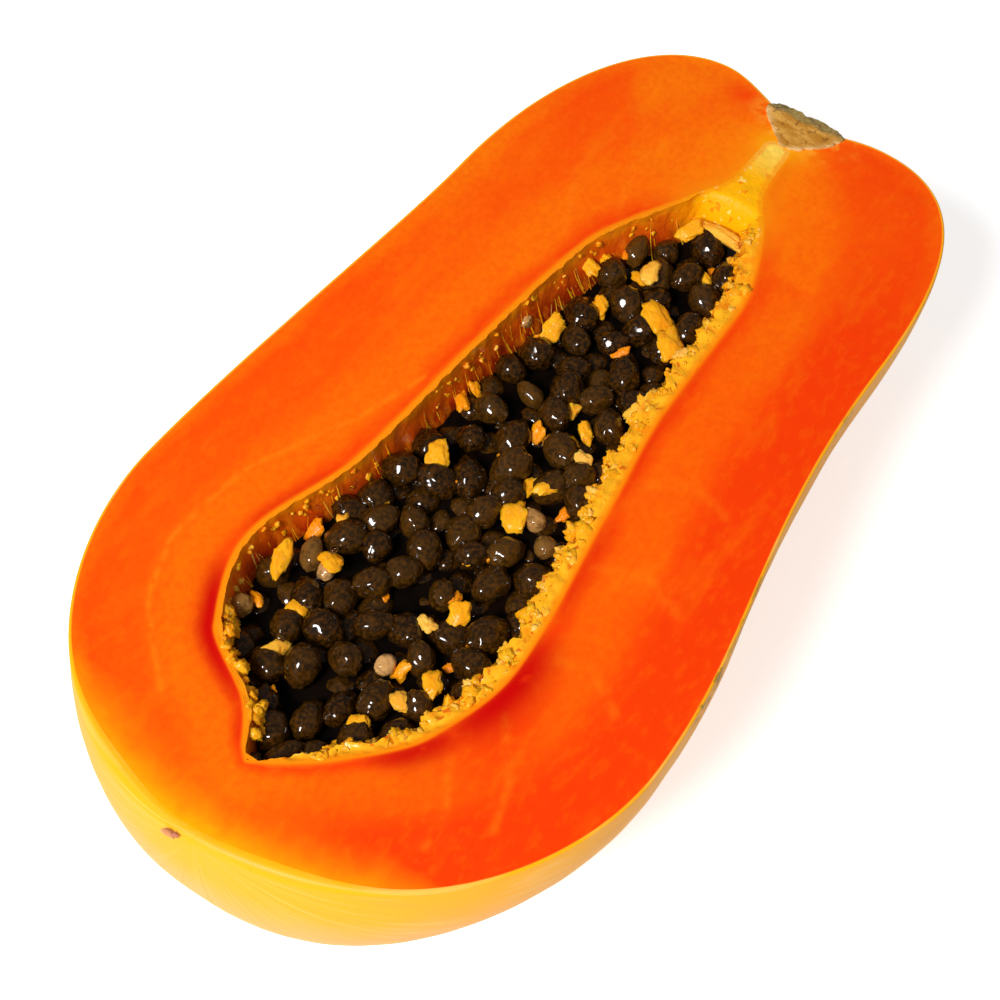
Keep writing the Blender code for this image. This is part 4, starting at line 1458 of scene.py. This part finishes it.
def build_stage():
    """Pale floor, one soft lamp and the camera."""
    scene = bpy.context.scene
    mesh = bpy.data.meshes.new("floor")
    corners = [(x * FLOOR_REACH, y * FLOOR_REACH, 0) for x, y in ((-1, -1), (1, -1), (1, 1), (-1, 1))]
    mesh.from_pydata(corners, [], [(0, 1, 2, 3)])
    floor = bpy.data.objects.new("floor", mesh)
    scene.collection.objects.link(floor)
    material, shader, kit = new_material("studio_floor", 0.9, specular=0.0)
    shader.inputs["Base Color"].default_value = (*colours().floor, 1.0)
    shader.inputs["Emission Color"].default_value = (1.0, 1.0, 1.0, 1.0)
    # the floor glows for the eye alone, so that it stays white without lighting the skin
    kit.join(kit.times(kit.add("ShaderNodeLightPath").outputs["Is Camera Ray"], FLOOR_GLOW),
             shader.inputs["Emission Strength"])
    mesh.materials.append(material)
    world = scene.world or bpy.data.worlds.new("studio")
    scene.world = world
    world.use_nodes = True
    background = world.node_tree.nodes["Background"]
    background.inputs["Color"].default_value = (1.0, 1.0, 1.0, 1.0)
    sky = Nodes(world.node_tree)
    ray = sky.add("ShaderNodeLightPath")
    seen = sky.times(ray.outputs["Is Camera Ray"], WORLD_SEEN)
    soft = sky.times(ray.outputs["Is Diffuse Ray"], WORLD_SOFT)
    sky.join(sky.math("ADD", sky.math("ADD", seen, soft), WORLD_LEAST), background.inputs["Strength"])
    area_light("key", LAMP_PLACE, LAMP_TARGET, LAMP_SIZE, LAMP_POWER)
    view = Vector((math.cos(VIEW_TURN) * math.cos(VIEW_DOWN), math.sin(VIEW_TURN) * math.cos(VIEW_DOWN),
                   -math.sin(VIEW_DOWN)))
    data = bpy.data.cameras.new("camera")
    data.lens = scene.papaya_sizes.lens
    data.sensor_width = 36.0
    data.clip_start = 0.01
    camera = bpy.data.objects.new("camera", data)
    camera.location = Vector(place(VIEW_TARGET)) - view * VIEW_DISTANCE
    camera.rotation_euler = view.to_track_quat("-Z", "Y").to_euler()
    scene.collection.objects.link(camera)
    scene.camera = camera
    scene.view_settings.view_transform = "Standard"


# ---------------------------------------------------------------- operators

class PAPAYA_OT_flesh(bpy.types.Operator):
    """Build the half fruit with its skin, cut edge and cut face"""

    bl_idname = "papaya.flesh"
    bl_label = "Flesh and skin"

    def execute(self, context):
        build_flesh()
        return {"FINISHED"}


class PAPAYA_OT_pulp(bpy.types.Operator):
    """Build the pulp that lines the hollow, its shreds, crumbs and juice"""

    bl_idname = "papaya.pulp"
    bl_label = "Pulp"

    def execute(self, context):
        build_pulp()
        build_shreds()
        build_crumbs()
        build_fibres()
        build_juice()
        return {"FINISHED"}


class PAPAYA_OT_seeds(bpy.types.Operator):
    """Build the heap's heart, painted near-black as shade, and the seeds on it"""

    bl_idname = "papaya.seeds"
    bl_label = "Seeds"

    def execute(self, context):
        build_core()
        build_seeds()
        return {"FINISHED"}


class PAPAYA_OT_stem(bpy.types.Operator):
    """Build the corky stem plug and the blossom scar"""

    bl_idname = "papaya.stem"
    bl_label = "Stem plug and scar"

    def execute(self, context):
        build_stem()
        build_scar()
        return {"FINISHED"}


class PAPAYA_OT_stage(bpy.types.Operator):
    """Build the floor, the lamp and the camera"""

    bl_idname = "papaya.stage"
    bl_label = "Stage"

    def execute(self, context):
        build_stage()
        return {"FINISHED"}


class PAPAYA_PT_panel(bpy.types.Panel):
    """The papaya's steps and settings"""

    bl_idname = "PAPAYA_PT_panel"
    bl_label = "Papaya half"
    bl_space_type = "VIEW_3D"
    bl_region_type = "UI"
    bl_category = "Papaya"

    def draw(self, context):
        for step in STEPS:
            self.layout.operator(step.bl_idname)
        for group in (context.scene.papaya_sizes, context.scene.papaya_colours):
            box = self.layout.box()
            for key in group.__annotations__:
                box.prop(group, key)


STEPS = (PAPAYA_OT_flesh, PAPAYA_OT_pulp, PAPAYA_OT_seeds, PAPAYA_OT_stem, PAPAYA_OT_stage)
CLASSES = (PapayaColours, PapayaSizes, *STEPS, PAPAYA_PT_panel)


def register():
    """Register the classes and their settings."""
    for cls in CLASSES:
        bpy.utils.register_class(cls)
    bpy.types.Scene.papaya_colours = bpy.props.PointerProperty(type=PapayaColours)
    bpy.types.Scene.papaya_sizes = bpy.props.PointerProperty(type=PapayaSizes)


def unregister():
    """Take the classes and their settings away."""
    del bpy.types.Scene.papaya_sizes
    del bpy.types.Scene.papaya_colours
    for cls in reversed(CLASSES):
        bpy.utils.unregister_class(cls)


def main():
    """Build every piece."""
    register()
    bpy.ops.papaya.flesh()
    bpy.ops.papaya.pulp()
    bpy.ops.papaya.seeds()
    bpy.ops.papaya.stem()
    bpy.ops.papaya.stage()


if __name__ == "__main__":
    main()
